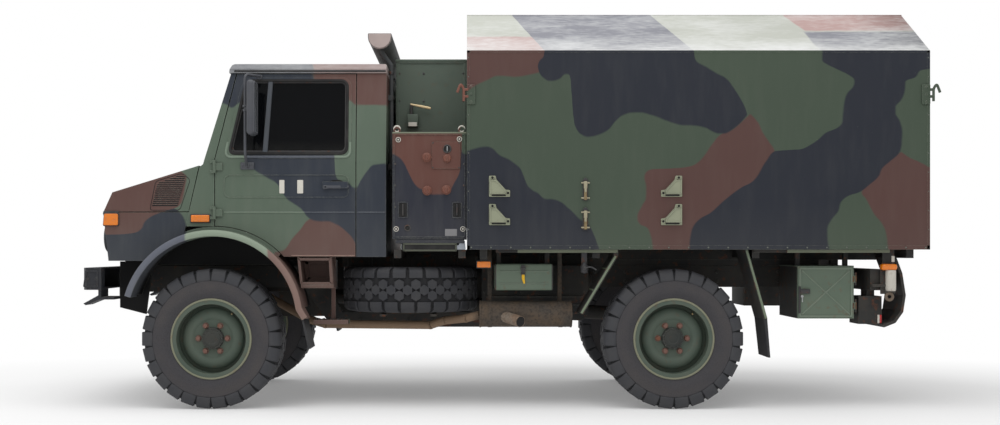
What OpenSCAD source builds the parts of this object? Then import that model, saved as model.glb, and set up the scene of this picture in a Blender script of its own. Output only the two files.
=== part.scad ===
// Military cargo truck with a closed shelter body, sizes in millimetres.
// Stations are measured rearward from the front axle and heights from the ground.

/* [Running gear] */
// Distance between the two axles
wheelbase = 3250; // [3150:10:3400]
// Distance between the wheel centre planes of one axle
track = 1860; // [1840:5:1880]
// Outside diameter of the tyres over their lugs
tyre_diameter = 988; // [972:4:1020]
// Widest section of a tyre
tyre_width = 325; // [300:5:340]
// Number of shoulder lugs on each side of a tyre
lug_count = 42; // [36:1:48]
// Width of a lug round the tyre
lug_width = 44; // [36:1:48]
// Diameter of the bead seat of the rims
bead_diameter = 516; // [500:2:530]
// Width of a rim between its flanges
rim_width = 280; // [260:5:290]
// Height of the axle tube above the wheel centre
portal_drop = 100; // [90:2:110]
// Distance between the two kingpins
kingpin_spacing = 1580; // [1560:4:1600]
// Diameter of a wheel spindle
spindle_diameter = 90; // [80:2:100]
// Diameter of a kingpin
kingpin_diameter = 40; // [34:2:46]
// Diameter of the bolt circle of a wheel
bolt_circle = 205; // [195:1:215]
// Number of wheel nuts
nut_count = 6; // [5:1:8]
// Length of a steering arm behind its kingpin
steer_arm = 150; // [140:5:160]

/* [Frame] */
// Overall width of the two frame rails
frame_width = 800; // [760:10:840]
// Height of the rail tops above the ground
frame_top = 1000; // [985:5:1010]
// Height of a rail over the axles
rail_height = 160; // [140:5:170]
// Height of a rail in the dropped middle
drop_height = 110; // [100:5:115]
// Height of the rail tops in the dropped middle
drop_top = 650; // [640:5:655]
// Width of a rail flange
rail_flange = 70; // [60:5:80]
// Wall thickness of the rails
rail_plate = 10; // [6:1:14]
// Length of the rails behind the rear axle
rear_overhang = 1390; // [1350:10:1430]

/* [Cab] */
// Width of the cab at the waist
cab_width = 2100; // [2060:10:2120]
// Station of the rear face of the cab
cab_back_x = 1227; // [1200:5:1240]
// Thickness of the cab doors and walls
cab_wall = 45; // [35:1:50]
// Height of the cab floor underside
floor_z = 1070; // [1060:2:1080]
// Height of the waist line where the sides start to lean in
belt_z = 1745; // [1730:5:1760]
// Height of the lower edge of the roof
roof_edge_z = 2372; // [2350:2:2390]
// Rise of the roof above its lower edge at the middle
roof_rise = 98; // [80:2:110]
// How far each side leans in between waist and roof
lean_in = 65; // [40:5:80]
// Gap around doors and lids
shut_gap = 6; // [5:0.5:8]
// Station of the door hinge line
door_front_x = 24; // [18:2:30]
// Station of the rear edge of the doors
door_rear_x = 1012; // [990:2:1030]
// Width of the nose at its front face
nose_width = 1970; // [1900:10:2040]
// Height of the line where the bonnet meets the wings
bonnet_split_z = 1385; // [1375:1:1395]

/* [Wheel arches] */
// Height of the front arch crests above the wheel centre
arch_rise = 765; // [757:1:772]
// Outside radius of the front arch lips
arch_radius = 633; // [625:1:640]
// Width of the front arch lips seen from the side
arch_lip = 45; // [35:1:50]
// Overall width across the front arch lips
arch_width = 2300; // [2280:10:2340]

/* [Shelter] */
// Gap between the cab and the shelter
shelter_gap = 570; // [560:5:600]
// Length of the shelter
shelter_length = 3223; // [3180:10:3260]
// Width of the shelter
shelter_width = 2300; // [2260:10:2340]
// Height of the shelter underside above the ground
shelter_z = 1122; // [1116:2:1130]
// Height of the shelter walls up to the eaves
wall_height = 1386; // [1360:2:1410]
// Rise of the roof flat above the eaves
roof_height = 351; // [320:2:380]
// Width of the roof flat
roof_flat = 1104; // [1000:10:1200]
// Thickness of the shelter walls
shelter_wall = 50; // [40:2:60]
// Width of the shelter door
shelter_door_w = 760; // [700:10:800]
// Height of the shelter door
shelter_door_h = 1150; // [1050:10:1220]

/* [Fittings] */
// Station of the spare wheel centre
spare_x = 1380; // [1375:1:1385]
// Distance of the spare wheel centre from the middle of the truck
spare_y = 600; // [596:1:610]
// Height of the spare wheel centre
spare_z = 837; // [835:1:838]
// Diameter of the silencer
silencer_diameter = 186; // [160:2:190]
// Width of the generator along the truck
generator_w = 520; // [500:5:530]
// Height of the generator top
generator_top = 1939; // [1900:5:1960]
// Height of the equipment unit top
unit_top = 2516; // [2480:4:2540]
// Length of the stowage trough across the truck
trough_length = 1800; // [1700:10:1900]
// Diameter of the steering wheel rim
steering_diameter = 460; // [430:5:480]

/* [Hidden] */
$fn = 64;
wheel_r = tyre_diameter / 2;
axle_z = wheel_r + portal_drop;
wheel_y = track / 2;
king_y = kingpin_spacing / 2;
bead_r = bead_diameter / 2;
frame_half = frame_width / 2;
cab_half = cab_width / 2;
nose_half = nose_width / 2;
arch_half = arch_width / 2;
arch_x = 20;
arch_z = wheel_r + arch_rise - arch_radius;
door_arch_r = arch_radius + 29;
rail_end = wheelbase + rear_overhang;
eave_z = shelter_z + wall_height;
shelter_top = eave_z + roof_height;
shelter_x0 = cab_back_x + shelter_gap;
shelter_x1 = shelter_x0 + shelter_length;
shelter_half = shelter_width / 2;
front_reach = 913;
rear_reach = shelter_x1 + 93;
mid_station = (rear_reach - front_reach) / 2;
run_gap = 0.05;
nose_x = -783;
nose_low_x = -744;
nose_low_z = 1042;
bonnet_front = [-716, 1528];
screen_low = [-62, 1722];
screen_high = [134, 2401];
screen_slope = (screen_high[0] - screen_low[0]) / (screen_high[1] - screen_low[1]);
seam_low = [-186, 1279];
seam_high = [-85, 1705];
seam_slope = (seam_high[0] - seam_low[0]) / (seam_high[1] - seam_low[1]);
door_top_x = door_front_x + 144;
door_break_z = 1761;
hinge_y = cab_half + 14;
bonnet_axis = [-80, 1726];
trough_x0 = cab_back_x - 138;
trough_z = 2562;
unit_bottom = generator_top;
generator_x0 = shelter_x0 - generator_w - 2;
guard_front_x = wheelbase - 662;
guard_low = [wheelbase + 628, wheelbase + 650, 636, 640];
side_space = guard_front_x - spare_x - wheel_r;
toolbox_x0 = spare_x + wheel_r + 0.169 * side_space;
toolbox_x1 = guard_front_x - 0.2577 * side_space;
silencer_r = silencer_diameter / 2;
silencer_x0 = 1885;
silencer_x1 = guard_front_x - 43;
storage = [wheelbase + 883, wheelbase + 1285, 635, 1004];
lip_end = [arch_x + arch_radius * cos(8), arch_z + arch_radius * sin(8)];
lip_inner = [arch_x + (arch_radius - arch_lip) * cos(8), arch_z + (arch_radius - arch_lip) * sin(8)];
flap_z = lip_end[1] - 74;
hinge_heights = [1380, 1705];
shelter_door_z = shelter_z + 78;

// One colour for each kind of material
paint_green = [0.36, 0.40, 0.34];
paint_dark = [0.20, 0.21, 0.24];
rubber_black = [0.10, 0.10, 0.10];
steel_grey = [0.34, 0.34, 0.36];
glass_grey = [0.60, 0.70, 0.72];
amber_lens = [0.90, 0.45, 0.10];

// Helpers that place outlines and rods
module place() translate([-mid_station, 0, 0]) children();

module both_sides() {
  children();
  mirror([0, 1, 0]) children();
}

module side_prism(points, y0, y1)
  translate([0, y1, 0]) rotate([90, 0, 0]) linear_extrude(y1 - y0) polygon(points);

module cross_prism(points, x0, x1)
  translate([x0, 0, 0]) rotate([90, 0, 90]) linear_extrude(x1 - x0) polygon(points);

module block(x0, x1, y0, y1, z0, z1)
  translate([x0, y0, z0]) cube([x1 - x0, y1 - y0, z1 - z0]);

module rod(p, q, r) {
  v = q - p;
  translate(p) rotate([0, acos(v[2] / norm(v)), atan2(v[1], v[0])]) cylinder(h = norm(v), r = r);
}

module pipe_run(points, r) {
  for (i = [0 : len(points) - 2]) rod(points[i], points[i + 1], r);
  for (i = [1 : len(points) - 2]) translate(points[i]) sphere(r = r * 1.06);
}

module y_disc(x, y0, y1, z, r)
  translate([x, y1, z]) rotate([90, 0, 0]) cylinder(h = y1 - y0, r = r);

function unit(v) = v / norm(v);

function corner(a, b, c, r, n) =
  let (u = unit(a - b), v = unit(c - b), half = acos(u * v) / 2)
  let (m = b + unit(u + v) * r / sin(half))
  let (p = b + u * r / tan(half) - m, q = b + v * r / tan(half) - m)
  let (a0 = atan2(p[1], p[0]), d = atan2(q[1], q[0]) - a0)
  let (s = d > 180 ? d - 360 : (d < -180 ? d + 360 : d))
  [for (i = [0 : n]) m + r * [cos(a0 + s * i / n), sin(a0 + s * i / n)]];

function rounded(p, r, n = 5) =
  [for (i = [0 : len(p) - 1]) each
    corner(p[(i + len(p) - 1) % len(p)], p[i], p[(i + 1) % len(p)], r, n)];

function screen_x(z) = screen_low[0] + (z - screen_low[1]) * screen_slope;

function wall_x(z) = -85 + (z - 1285) * 55 / 415;

function seam_x(z) = seam_low[0] + (z - seam_low[1]) * seam_slope;

function nose_at(z) = nose_x + (bonnet_split_z - z) * (nose_low_x - nose_x) / (bonnet_split_z - nose_low_z);

function clip_half(x) = cab_half - (-60 - x) * (cab_half - nose_half) / 700;

function bonnet_z(x) =
  bonnet_front[1] + (x - bonnet_front[0]) * (screen_low[1] - bonnet_front[1])
  / (screen_low[0] - bonnet_front[0]);

// Side band of the cab between two depths below its skin
module side_band(d0, d1, x0, x1, z0 = 1000, z1 = 2420) {
  k = lean_in / (roof_edge_z - belt_z);
  y0 = -cab_half;
  cross_prism([
    [y0 + d0, z0], [y0 + d0, belt_z], [y0 + d0 + k * (z1 - belt_z), z1],
    [y0 + d1 + k * (z1 - belt_z), z1], [y0 + d1, belt_z], [y0 + d1, z0]
  ], x0, x1);
}

// Solid inside of the cab section at a depth below its skin
module cab_core(d, x0, x1, z0, z1) {
  k = lean_in / (roof_edge_z - belt_z);
  w = cab_half - d;
  t = w - k * (z1 - belt_z);
  cross_prism([[-w, z0], [-w, belt_z], [-t, z1], [t, z1], [w, belt_z], [w, z0]], x0, x1);
}

// Plan outline of the nose at a depth below its skin
module nose_plan(d, z0, z1)
  translate([0, 0, z0]) linear_extrude(z1 - z0) polygon([
    [-860, -clip_half(-860) + d], [-60, -cab_half + d], [60, -cab_half + d],
    [60, cab_half - d], [-60, cab_half - d], [-860, clip_half(-860) - d]
  ]);

module ring_sector(r0, r1, a0, a1, y0, y1)
  translate([arch_x, y1, arch_z]) rotate([90, 0, 0]) linear_extrude(y1 - y0)
    intersection() {
      difference() {
        circle(r = r1, $fn = 120);
        circle(r = r0, $fn = 120);
      }
      polygon(concat([[0, 0]], [for (i = [0 : 6]) let (a = a0 + (a1 - a0) * i / 6)
        2 * r1 * [cos(a), sin(a)]]));
    }

// Frame
function rail_outline(t) =
  let (e = t > 0 ? 20 : 0, s = 0.55 * t)
  let (f = -778, a = 640, b = 860, c = 1900, d = 2120)
  [
    [f - e, frame_top - t], [a - s, frame_top - t], [b - s, drop_top - t], [c + s, drop_top - t],
    [d + s, frame_top - t], [rail_end + e, frame_top - t],
    [rail_end + e, frame_top - rail_height + t], [d + 80 - s, frame_top - rail_height + t],
    [c + 80 - s, drop_top - drop_height + t], [b - 80 + s, drop_top - drop_height + t],
    [a - 80 + s, frame_top - rail_height + t], [f - e, frame_top - rail_height + t]
  ];

module left_rail() {
  difference() {
    side_prism(rail_outline(0), -frame_half, -frame_half + rail_flange);
    side_prism(rail_outline(rail_plate), -frame_half + rail_plate, -frame_half + rail_flange + 5);
  }
  block(-735, -690, -frame_half, -frame_half + 60, frame_top - rail_plate, nose_low_z);
  block(530, 600, -frame_half, -frame_half + 60, frame_top - rail_plate, floor_z);
  block(735, 800, -frame_half, -frame_half + 60, frame_top - 240, floor_z);
  for (x = [0, wheelbase]) {
    block(x - 80, x + 80, -frame_half - 160, -frame_half + rail_plate,
      frame_top - rail_height - 12, frame_top - rail_height + 10);
  }
}

module frame_rails() color(paint_dark) place() both_sides() left_rail();

module frame_crossmembers() color(paint_dark) place() {
  // station, height, radius
  for (t = [[-700, frame_top - 80, 38], [1010, drop_top - 62, 30], [1760, drop_top - 62, 30],
            [2450, frame_top - 70, 38], [wheelbase + 600, frame_top - 70, 38],
            [wheelbase + 1310, frame_top - 70, 38]]) {
    y_disc(t[0], -frame_half + rail_plate, frame_half - rail_plate, t[1], t[2]);
  }
}

module subframe() color(paint_dark) place() {
  beam_z = frame_top + 45;
  strip_y = -shelter_half + 50;
  both_sides() block(generator_x0 - 20, shelter_x1 - 60, -frame_half, -frame_half + 60, beam_z, shelter_z);
  for (x = [generator_x0 + 10, shelter_x0 - 60, shelter_x0 + 90, shelter_x0 + 880, shelter_x0 + 2000,
            shelter_x1 - 140]) {
    block(x, x + 50, -shelter_half + 70, shelter_half - 70, shelter_z - 60, shelter_z);
  }
  for (x = [[2240, wheelbase + 1200], [wheelbase + 1290, wheelbase + 1345]]) {
    both_sides() block(x[0], x[1], -frame_half + 5, -frame_half + 55, frame_top, beam_z + 5);
  }
  both_sides() {
    block(shelter_x0 + 202, wheelbase - 433, strip_y, strip_y + 40, shelter_z - 21, shelter_z);
    block(wheelbase + 557, shelter_x1 - 300, strip_y, strip_y + 40, shelter_z - 21, shelter_z);
    block(shelter_x0 + 93, shelter_x0 + 143, -1042, -1030, 1035, shelter_z);
  }
}

module front_bumper() color(paint_dark) place() {
  z0 = 838;
  z1 = 994;
  difference() {
    translate([0, 0, z0]) linear_extrude(z1 - z0) polygon([
      [-front_reach, -1000], [-front_reach + 30, -1050], [-778, -1050], [-778, -960], [-820, -940],
      [-820, 940], [-778, 960], [-778, 1050], [-front_reach + 30, 1050], [-front_reach, 1000]
    ]);
    block(-front_reach + 12, -770, -930, 930, z0 + 12, z1 - 12);
  }
  both_sides() {
    block(-830, -778, -frame_half, -frame_half + 60, 842, 990);
    side_prism([[-905, 742], [-800, 800], [-800, 845], [-780, 845], [-780, 785], [-690, 785], [-690, 770],
                [-790, 770], [-890, 730]], -1045, -860);
  }
  difference() {
    union() {
      block(-900, -800, -75, 75, 760, 840);
      block(-front_reach + 4, -860, -75, -45, 760, 842);
      block(-front_reach + 4, -860, 45, 75, 760, 842);
    }
    y_disc(-878, -80, 80, 800, 17);
    block(-930, -850, -45, 45, 770, 830);
  }
}

module rear_beam() color(paint_dark) place() {
  jaw_x = rail_end + 290;
  difference() {
    block(rail_end, rail_end + 70, -1040, 1040, 835, 985);
    block(rail_end + 10, rail_end + 90, -1020, 1020, 850, 970);
  }
  both_sides() {
    block(rail_end, rail_end + 60, -frame_half, -frame_half + 60, 840, 980);
    translate([rail_end, 0, 0]) side_prism([
      [160, 1066], [203, 950], [228, 800], [212, 690], [162, 622], [88, 592],
      [94, 574], [174, 606], [228, 682], [246, 800], [222, 955], [178, 1072]
    ], -1050, -640);
    block(rail_end, rail_end + 232, -900, -840, 860, 960);
    block(rail_end - 66, rail_end + 98, -980, -760, 594, 792);
    block(rail_end + 4, rail_end + 58, -940, -800, 780, 850);
  }
  block(rail_end, rail_end + 80, -80, 80, 838, 982);
  difference() {
    union() {
      block(rail_end + 70, rail_end + 160, -70, 70, 848, 972);
      for (z = [848, 940]) {
        block(rail_end + 70, jaw_x, -70, 70, z, z + 32);
        translate([jaw_x, 0, z]) cylinder(h = 32, r = 70);
      }
    }
    translate([jaw_x, 0, 840]) cylinder(h = 140, r = 20);
  }
}

// Axles and steering
module axle_beam(half_length, diff_y) {
  y_disc(0, -half_length, half_length, axle_z, 60);
  translate([0, diff_y, axle_z]) sphere(r = 150);
  both_sides() translate([0, -frame_half - 85, axle_z + 40]) cylinder(h = 55, r = 84);
}

module front_axle() color(paint_dark) place() {
  difference() {
    union() {
      axle_beam(king_y - 20, 120);
      both_sides() translate([0, -king_y, axle_z - 75]) cylinder(h = 150, r = 42);
    }
    both_sides() translate([0, -king_y, axle_z - 100])
      cylinder(h = 200, r = kingpin_diameter / 2 + run_gap);
  }
}

module portal_case() {
  y0 = -wheel_y + 35;
  y1 = -king_y - 50;
  y_disc(0, y0, y1, axle_z, 95);
  y_disc(0, y0, y1, wheel_r, 105);
  block(-95, 95, y0, y1, wheel_r, axle_z);
  y_disc(0, -wheel_y - 42, y0 + 5, wheel_r, spindle_diameter / 2);
}

module rear_axle() color(paint_dark) place() translate([wheelbase, 0, 0]) {
  axle_beam(king_y + 60, 120);
  both_sides() portal_case();
}

module left_knuckle() {
  portal_case();
  for (z = [axle_z + 81, axle_z - 106]) {
    translate([0, -king_y, z]) cylinder(h = 25, r = 40);
    block(-40, 40, -king_y - 60, -king_y, z, z + 25);
  }
  translate([0, -king_y, axle_z - 106]) cylinder(h = 212, r = kingpin_diameter / 2);
  difference() {
    union() {
      block(-30, steer_arm, -king_y - 20, -king_y + 20, axle_z - 130, axle_z - 102);
      translate([steer_arm, -king_y, axle_z - 130]) cylinder(h = 28, r = 26);
    }
    translate([steer_arm, -king_y, axle_z - 140]) cylinder(h = 60, r = 12 + run_gap);
  }
}

module knuckle_left() color(paint_dark) place() left_knuckle();

module knuckle_right() color(paint_dark) place() mirror([0, 1, 0]) left_knuckle();

module tie_rod() color(steel_grey) place() {
  z = axle_z - 155;
  y_disc(steer_arm, -king_y, king_y, z, 16);
  both_sides() {
    translate([steer_arm, -king_y, z - 18]) cylinder(h = 36, r = 26);
    translate([steer_arm, -king_y, z]) cylinder(h = 60, r = 12);
  }
}

module springs() color(steel_grey) place() {
  z0 = axle_z + 95;
  z1 = frame_top - rail_height - 12;
  n = 4;
  for (x = [0, wheelbase]) {
    both_sides() translate([x, -frame_half - 85, z0]) {
      cylinder(h = z1 - z0, r = 50);
      for (i = [0 : n - 1]) translate([0, 0, (z1 - z0) * (i + 0.5) / n])
        rotate_extrude() translate([60, 0]) circle(r = 13, $fn = 24);
    }
  }
}

// Wheels, built with the axis along Y and the outer face toward -Y
module tyre_lug() {
  h = tyre_width / 2;
  rotate([90, 0, 0]) linear_extrude(lug_width, center = true) polygon([
    [wheel_r - 30, h - 80], [wheel_r, h - 80], [wheel_r, h - 45], [wheel_r - 29, h - 14],
    [wheel_r - 60, h - 20]
  ]);
}

module tyre_body() {
  h = tyre_width / 2;
  g = rim_width / 2;
  b = bead_r + 0.3;
  half = [
    [b, g - 30], [b, g], [bead_r + 27, g], [bead_r + 80, h - 4], [bead_r + 135, h],
    [bead_r + 176, h - 4], [wheel_r - 32, h - 26], [wheel_r - 18, h - 50]
  ];
  inner = [[wheel_r - 38, h - 60], [wheel_r - 60, h - 34], [bead_r + 60, h - 22]];
  rotate([90, 0, 0]) union() {
    rotate_extrude($fn = 96) polygon(concat(
      half,
      [for (i = [len(half) - 1 : -1 : 0]) [half[i][0], -half[i][1]]],
      [for (i = [len(inner) - 1 : -1 : 0]) [inner[i][0], -inner[i][1]]],
      inner
    ));
    for (i = [0 : lug_count - 1]) rotate([0, 0, i * 360 / lug_count]) {
      tyre_lug();
      rotate([0, 0, 180 / lug_count]) mirror([0, 0, 1]) tyre_lug();
    }
  }
}

module rim_body(hub) {
  h = rim_width / 2;
  rotate([90, 0, 0]) rotate_extrude($fn = 96) polygon([
    [bead_r, -h], [bead_r + 25, -h], [bead_r + 25, -h - 5], [bead_r - 14, -h - 5], [bead_r - 14, 30],
    [214, 40], [186, 60], [150, 68], [138, 58], [80, 58], [80, 70], [132, 70], [150, 80],
    [190, 72], [218, 52], [bead_r - 14, 46], [bead_r - 14, h + 5], [bead_r + 25, h + 5], [bead_r + 25, h],
    [bead_r, h]
  ]);
  if (hub) {
    difference() {
      union() {
        y_disc(0, -58, 25, 0, 165);
        y_disc(0, -100, -50, 0, 72);
        y_disc(0, -108, -50, 0, 58);
        for (i = [0 : nut_count - 1]) rotate([0, i * 360 / nut_count, 0])
          y_disc(bolt_circle / 2, -88, -50, 0, 15);
      }
      y_disc(0, -44, 40, 0, spindle_diameter / 2 + run_gap);
    }
  }
}

// axle station, side
module at_wheel(x, side) color(rubber_black) place() translate([x, side * wheel_y, wheel_r])
  rotate([0, 0, side > 0 ? 180 : 0]) children();

module tyre_front_left() at_wheel(0, -1) tyre_body();

module tyre_front_right() at_wheel(0, 1) tyre_body();

module tyre_rear_left() at_wheel(wheelbase, -1) tyre_body();

module tyre_rear_right() at_wheel(wheelbase, 1) tyre_body();

module rim_front_left() color(paint_green) at_wheel(0, -1) rim_body(true);

module rim_front_right() color(paint_green) at_wheel(0, 1) rim_body(true);

module rim_rear_left() color(paint_green) at_wheel(wheelbase, -1) rim_body(true);

module rim_rear_right() color(paint_green) at_wheel(wheelbase, 1) rim_body(true);

module spare_tyre() color(rubber_black) place() translate([spare_x, -spare_y, spare_z])
  rotate([-90, 0, 0]) tyre_body();

module spare_rim() color(paint_green) place() translate([spare_x, -spare_y, spare_z])
  rotate([-90, 0, 0]) rim_body(false);

module spare_carrier() color(steel_grey) place() {
  z0 = drop_top;
  for (x = [spare_x - 200, spare_x + 160]) block(x, x + 40, -1010, -frame_half + 60, z0, z0 + 16);
  block(spare_x - 200, spare_x + 200, -spare_y - 60, -spare_y + 60, z0, z0 + 16);
  translate([spare_x, -spare_y, z0 + 10]) cylinder(h = spare_z + 58 - z0 - 10, r = 110);
  translate([spare_x, -spare_y, z0 + 10]) cylinder(h = spare_z + 130 - z0 - 10, r = 15);
  translate([spare_x, -spare_y, spare_z + 70]) cylinder(h = 18, r = 105);
}

// Power train and exhaust
module powertrain() color(steel_grey) place() {
  block(-640, -130, -280, 280, 800, 1440);
  block(-140, 760, -215, 215, 800, 1040);
  block(350, 760, -190, 190, 610, 810);
  rod([750, 0, 760], [wheelbase - 155, 0, axle_z + 20], 55);
  block(wheelbase - 190, wheelbase - 152, -60, 60, axle_z - 50, axle_z + 80);
  block(200, 360, -55, 130, 620, 700);
}

module exhaust() color(steel_grey) place() {
  x0 = silencer_x0;
  x1 = silencer_x1;
  tail_x = x0 + 0.28 * (x1 - x0);
  pipe_run([
    [-200, -250, 800], [-200, -250, 752], [300, -265, 752], [620, -500, 600], [760, -690, 578],
    [x0 - 355, -720, 572], [x0 - 247, -760, 608], [x0 - 95, -850, 628], [x0 + 7, -900, 655]
  ], 30);
  translate([x0, -900, 662]) rotate([0, 90, 0]) cylinder(h = x1 - x0, r = silencer_r);
  rod([tail_x, -920, 655], [tail_x + 100, -1095, 618], 31);
  for (x = [x0 + 60, x1 - 95]) block(x, x + 30, -830, -800, 662 + silencer_r - 40, shelter_z);
}

module fuel_tank() color(paint_dark) place() {
  tank_x = [1100, 1950];
  cross_prism(rounded([[430, 620], [1000, 620], [1000, 985], [430, 985]], 60), tank_x[0], tank_x[1]);
  for (x = [tank_x[0] + 190, tank_x[1] - 230]) {
    block(x, x + 40, frame_half, 470, 560, 640);
    block(x, x + 40, 430, 470, 560, 660);
  }
  translate([tank_x[0] + 100, 900, 980]) cylinder(h = 40, r = 45);
}

// Boxes under the shelter
module tool_box() {
  outline = rounded([[-1012, 835], [-640, 835], [-640, 1020], [-1012, 1020]], 14);
  cross_prism(outline, toolbox_x0, toolbox_x1);
  for (x = [toolbox_x0 + 15, toolbox_x1 - 49]) block(x, x + 30, -900, -860, 1010, shelter_z);
}

module storage_box() {
  difference() {
    block(storage[0], storage[1], -990, -480, storage[2], storage[3]);
    block(storage[0] + 12, storage[1] - 12, -1000, -492, storage[2] + 12, storage[3] - 12);
  }
  for (x = [storage[0] + 15, storage[1] - 45]) block(x, x + 30, -900, -860, storage[3] - 5, shelter_z);
  for (z = [storage[2] + 90, storage[3] - 90]) {
    for (z0 = [z - 45, z + 25.5]) {
      translate([storage[1] + 8, -1008, z0]) cylinder(h = 19.5, r = 9);
      block(storage[1] - 4, storage[1] + 14, -1008, -985, z0, z0 + 19.5);
    }
    translate([storage[1] + 8, -1008, z - 45]) cylinder(h = 90, r = 4);
  }
}

module battery_box() {
  x0 = storage[0] - 58;
  x1 = storage[0] + 231;
  block(x0, x1, 480, 980, storage[2] + 27, storage[3]);
  for (x = [x0 + 15, x1 - 45]) block(x, x + 30, 860, 900, storage[3] - 5, shelter_z);
}

module side_lockers() color(paint_green) place() {
  tool_box();
  storage_box();
  battery_box();
}

module locker_door() color(paint_green) place() difference() {
  union() {
    block(storage[0], storage[1] - 6, -1018, -996, storage[2], storage[3]);
    for (z = [storage[2] + 90, storage[3] - 90]) {
      translate([storage[1] + 8, -1008, z - 25]) cylinder(h = 50, r = 9);
      block(storage[1] - 12, storage[1] + 6, -1017, -1003, z - 25, z + 25);
    }
    block(storage[0] + 20, storage[0] + 80, -1036, -1015, 815, 840);
  }
  for (z = [storage[2] + 90, storage[3] - 90])
    translate([storage[1] + 8, -1008, z - 60]) cylinder(h = 120, r = 4 + run_gap);
}

module rear_mudguards() color(paint_dark) place() both_sides() {
  x = wheelbase;
  side_prism([
    [guard_front_x, 680], [x - 640, 668], [x - 395, 1077], [x - 395, shelter_z],
    [x - 425, shelter_z], [x - 425, 1077]
  ], -1100, -780);
  side_prism([[x + 492, shelter_z], [x + 514, shelter_z], [guard_low[1], guard_low[3]],
              [guard_low[0], guard_low[2]]], -1100, -780);
}

module mud_flaps() color(rubber_black) place() both_sides() {
  side_prism([[guard_low[0], guard_low[2]], [guard_low[1], guard_low[3]], [guard_low[1] + 22, 365],
              [guard_low[1] + 8, 365]], -1095, -785);
  x = lip_end[0];
  side_prism([[x - 5, flap_z], [x + 9, flap_z], [x + 59, flap_z - 210], [x + 43, flap_z - 210]],
    -arch_half + 8, -860);
}

// Nose of the cab
module wing_left() {
  difference() {
    intersection() {
      side_prism([
        [nose_at(bonnet_split_z), bonnet_split_z], [nose_at(nose_low_z), nose_low_z], [-400, nose_low_z],
        [-300, 1150], [seam_x(1200), 1200], [seam_x(bonnet_split_z), bonnet_split_z]
      ], -1100, 0);
      difference() {
        nose_plan(0, 1000, 1500);
        nose_plan(40, 990, 1510);
      }
    }
    y_disc(arch_x, -1300, -500, arch_z, arch_radius - 20);
  }
  ring_sector(arch_radius - arch_lip, arch_radius, 8, 164, -arch_half, -cab_half + 60);
  ring_sector(arch_radius - 12, arch_radius, 8, 164, -cab_half + 50, -690);
  intersection() {
    ring_sector(arch_radius - 14, arch_radius + 24, 80, 110, -1100, -980);
    difference() {
      nose_plan(0, 1000, 1500);
      nose_plan(28, 990, 1510);
    }
  }
  ring_sector(arch_radius - 14, arch_radius + 24, 45, 87, -cab_half, -cab_half + 28);
  intersection() {
    ring_sector(100, arch_radius - 6, 30, 150, -702, -690);
    block(-700, 700, -710, -680, wheel_r + 516, 1300);
  }
  side_prism([[-700, 1060], [-700, 1036], [-738, 1036], [-738, 700], [-545, 650], [-500, 1000], [-420, 1060]],
    -702, -690);
  tail = [lip_inner + [0, 10], lip_end + [0, 4], [lip_end[0] + 41, flap_z], [lip_end[0] - 2, flap_z]];
  side_prism(tail, -arch_half, -cab_half + 60);
}

module front_wings() color(paint_green) place() both_sides() wing_left();

module front_panel() color(paint_green) place() {
  w = clip_half(-760) - 44;
  difference() {
    side_prism([
      [nose_at(bonnet_split_z), bonnet_split_z], [nose_at(nose_low_z), nose_low_z],
      [nose_at(nose_low_z) + 40, nose_low_z], [nose_at(bonnet_split_z) + 40, bonnet_split_z]
    ], -w, w);
    block(-900, -500, -560, 560, 1085, 1350);
    both_sides() translate([-900, -755, 1210]) rotate([0, 90, 0]) cylinder(h = 400, r = 98);
  }
  for (i = [0 : 6]) block(nose_low_x - 15, nose_low_x + 5, -562, 562, 1100 + i * 37, 1122 + i * 37);
  for (y = [-280, 0, 280]) block(nose_low_x - 5, nose_low_x + 15, y - 8, y + 8, 1080, 1355);
}

module headlamp_pair() both_sides()
  translate([nose_x - 14, -755, 1210]) rotate([0, 90, 0]) {
    cylinder(h = 90, r = 97.7);
    translate([0, 0, -8]) cylinder(h = 20, r = 88);
  }

module indicators() color(amber_lens) place() both_sides() {
  side_prism([[nose_x + 3, 1294], [-672, 1294], [-672, 1376], [nose_x + 11, 1376]],
    -clip_half(-672) - 16, -clip_half(-672));
  block(-145, -12, -cab_half - 22, -cab_half, 1313, 1367);
  block(shelter_x0 + 67, shelter_x0 + 170, -1056, -1042, 992, 1042);
}

module bonnet() color(paint_green) place() {
  z0 = bonnet_split_z + shut_gap;
  f = (z0 - bonnet_split_z) * (bonnet_front[0] - nose_x) / (bonnet_front[1] - bonnet_split_z);
  difference() {
    union() {
      difference() {
        intersection() {
          side_prism([[nose_x + f, z0], bonnet_front, [-91, bonnet_z(-91)], [seam_x(z0) - shut_gap, z0]],
            -1200, 1200);
          nose_plan(0, 1300, 1800);
        }
        intersection() {
          side_prism([[nose_x + 44, z0 - 10], bonnet_front + [32, -32], [-40, bonnet_z(-40) - 42],
                      [-40, z0 - 10]], -1200, 1200);
          nose_plan(40, 1290, 1810);
        }
      }
      both_sides() {
        y_disc(bonnet_axis[0], -625, -575, bonnet_axis[1], 11);
        side_prism([
          [-150, bonnet_z(-150) - 4], [-150, bonnet_z(-150) + 8], bonnet_axis + [0, 9],
          bonnet_axis - [9, 4], [-92, bonnet_z(-92) - 4]
        ], -625, -575);
      }
    }
    y_disc(bonnet_axis[0], -700, 700, bonnet_axis[1], 5 + run_gap);
  }
}

// Cab shell
module door_outline_cut(grow) {
  // Outline of the door opening, grown by the shut gap
  g = grow;
  difference() {
    polygon([
      [door_front_x - g, 1150], [door_front_x - g, door_break_z],
      [door_top_x - g, roof_edge_z - shut_gap + g], [door_rear_x + g, roof_edge_z - shut_gap + g],
      [door_rear_x + g, floor_z + 2 - g],
      [arch_x + 300, floor_z + 2 - g]
    ]);
    translate([arch_x, arch_z]) circle(r = door_arch_r - g, $fn = 120);
  }
}

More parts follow.
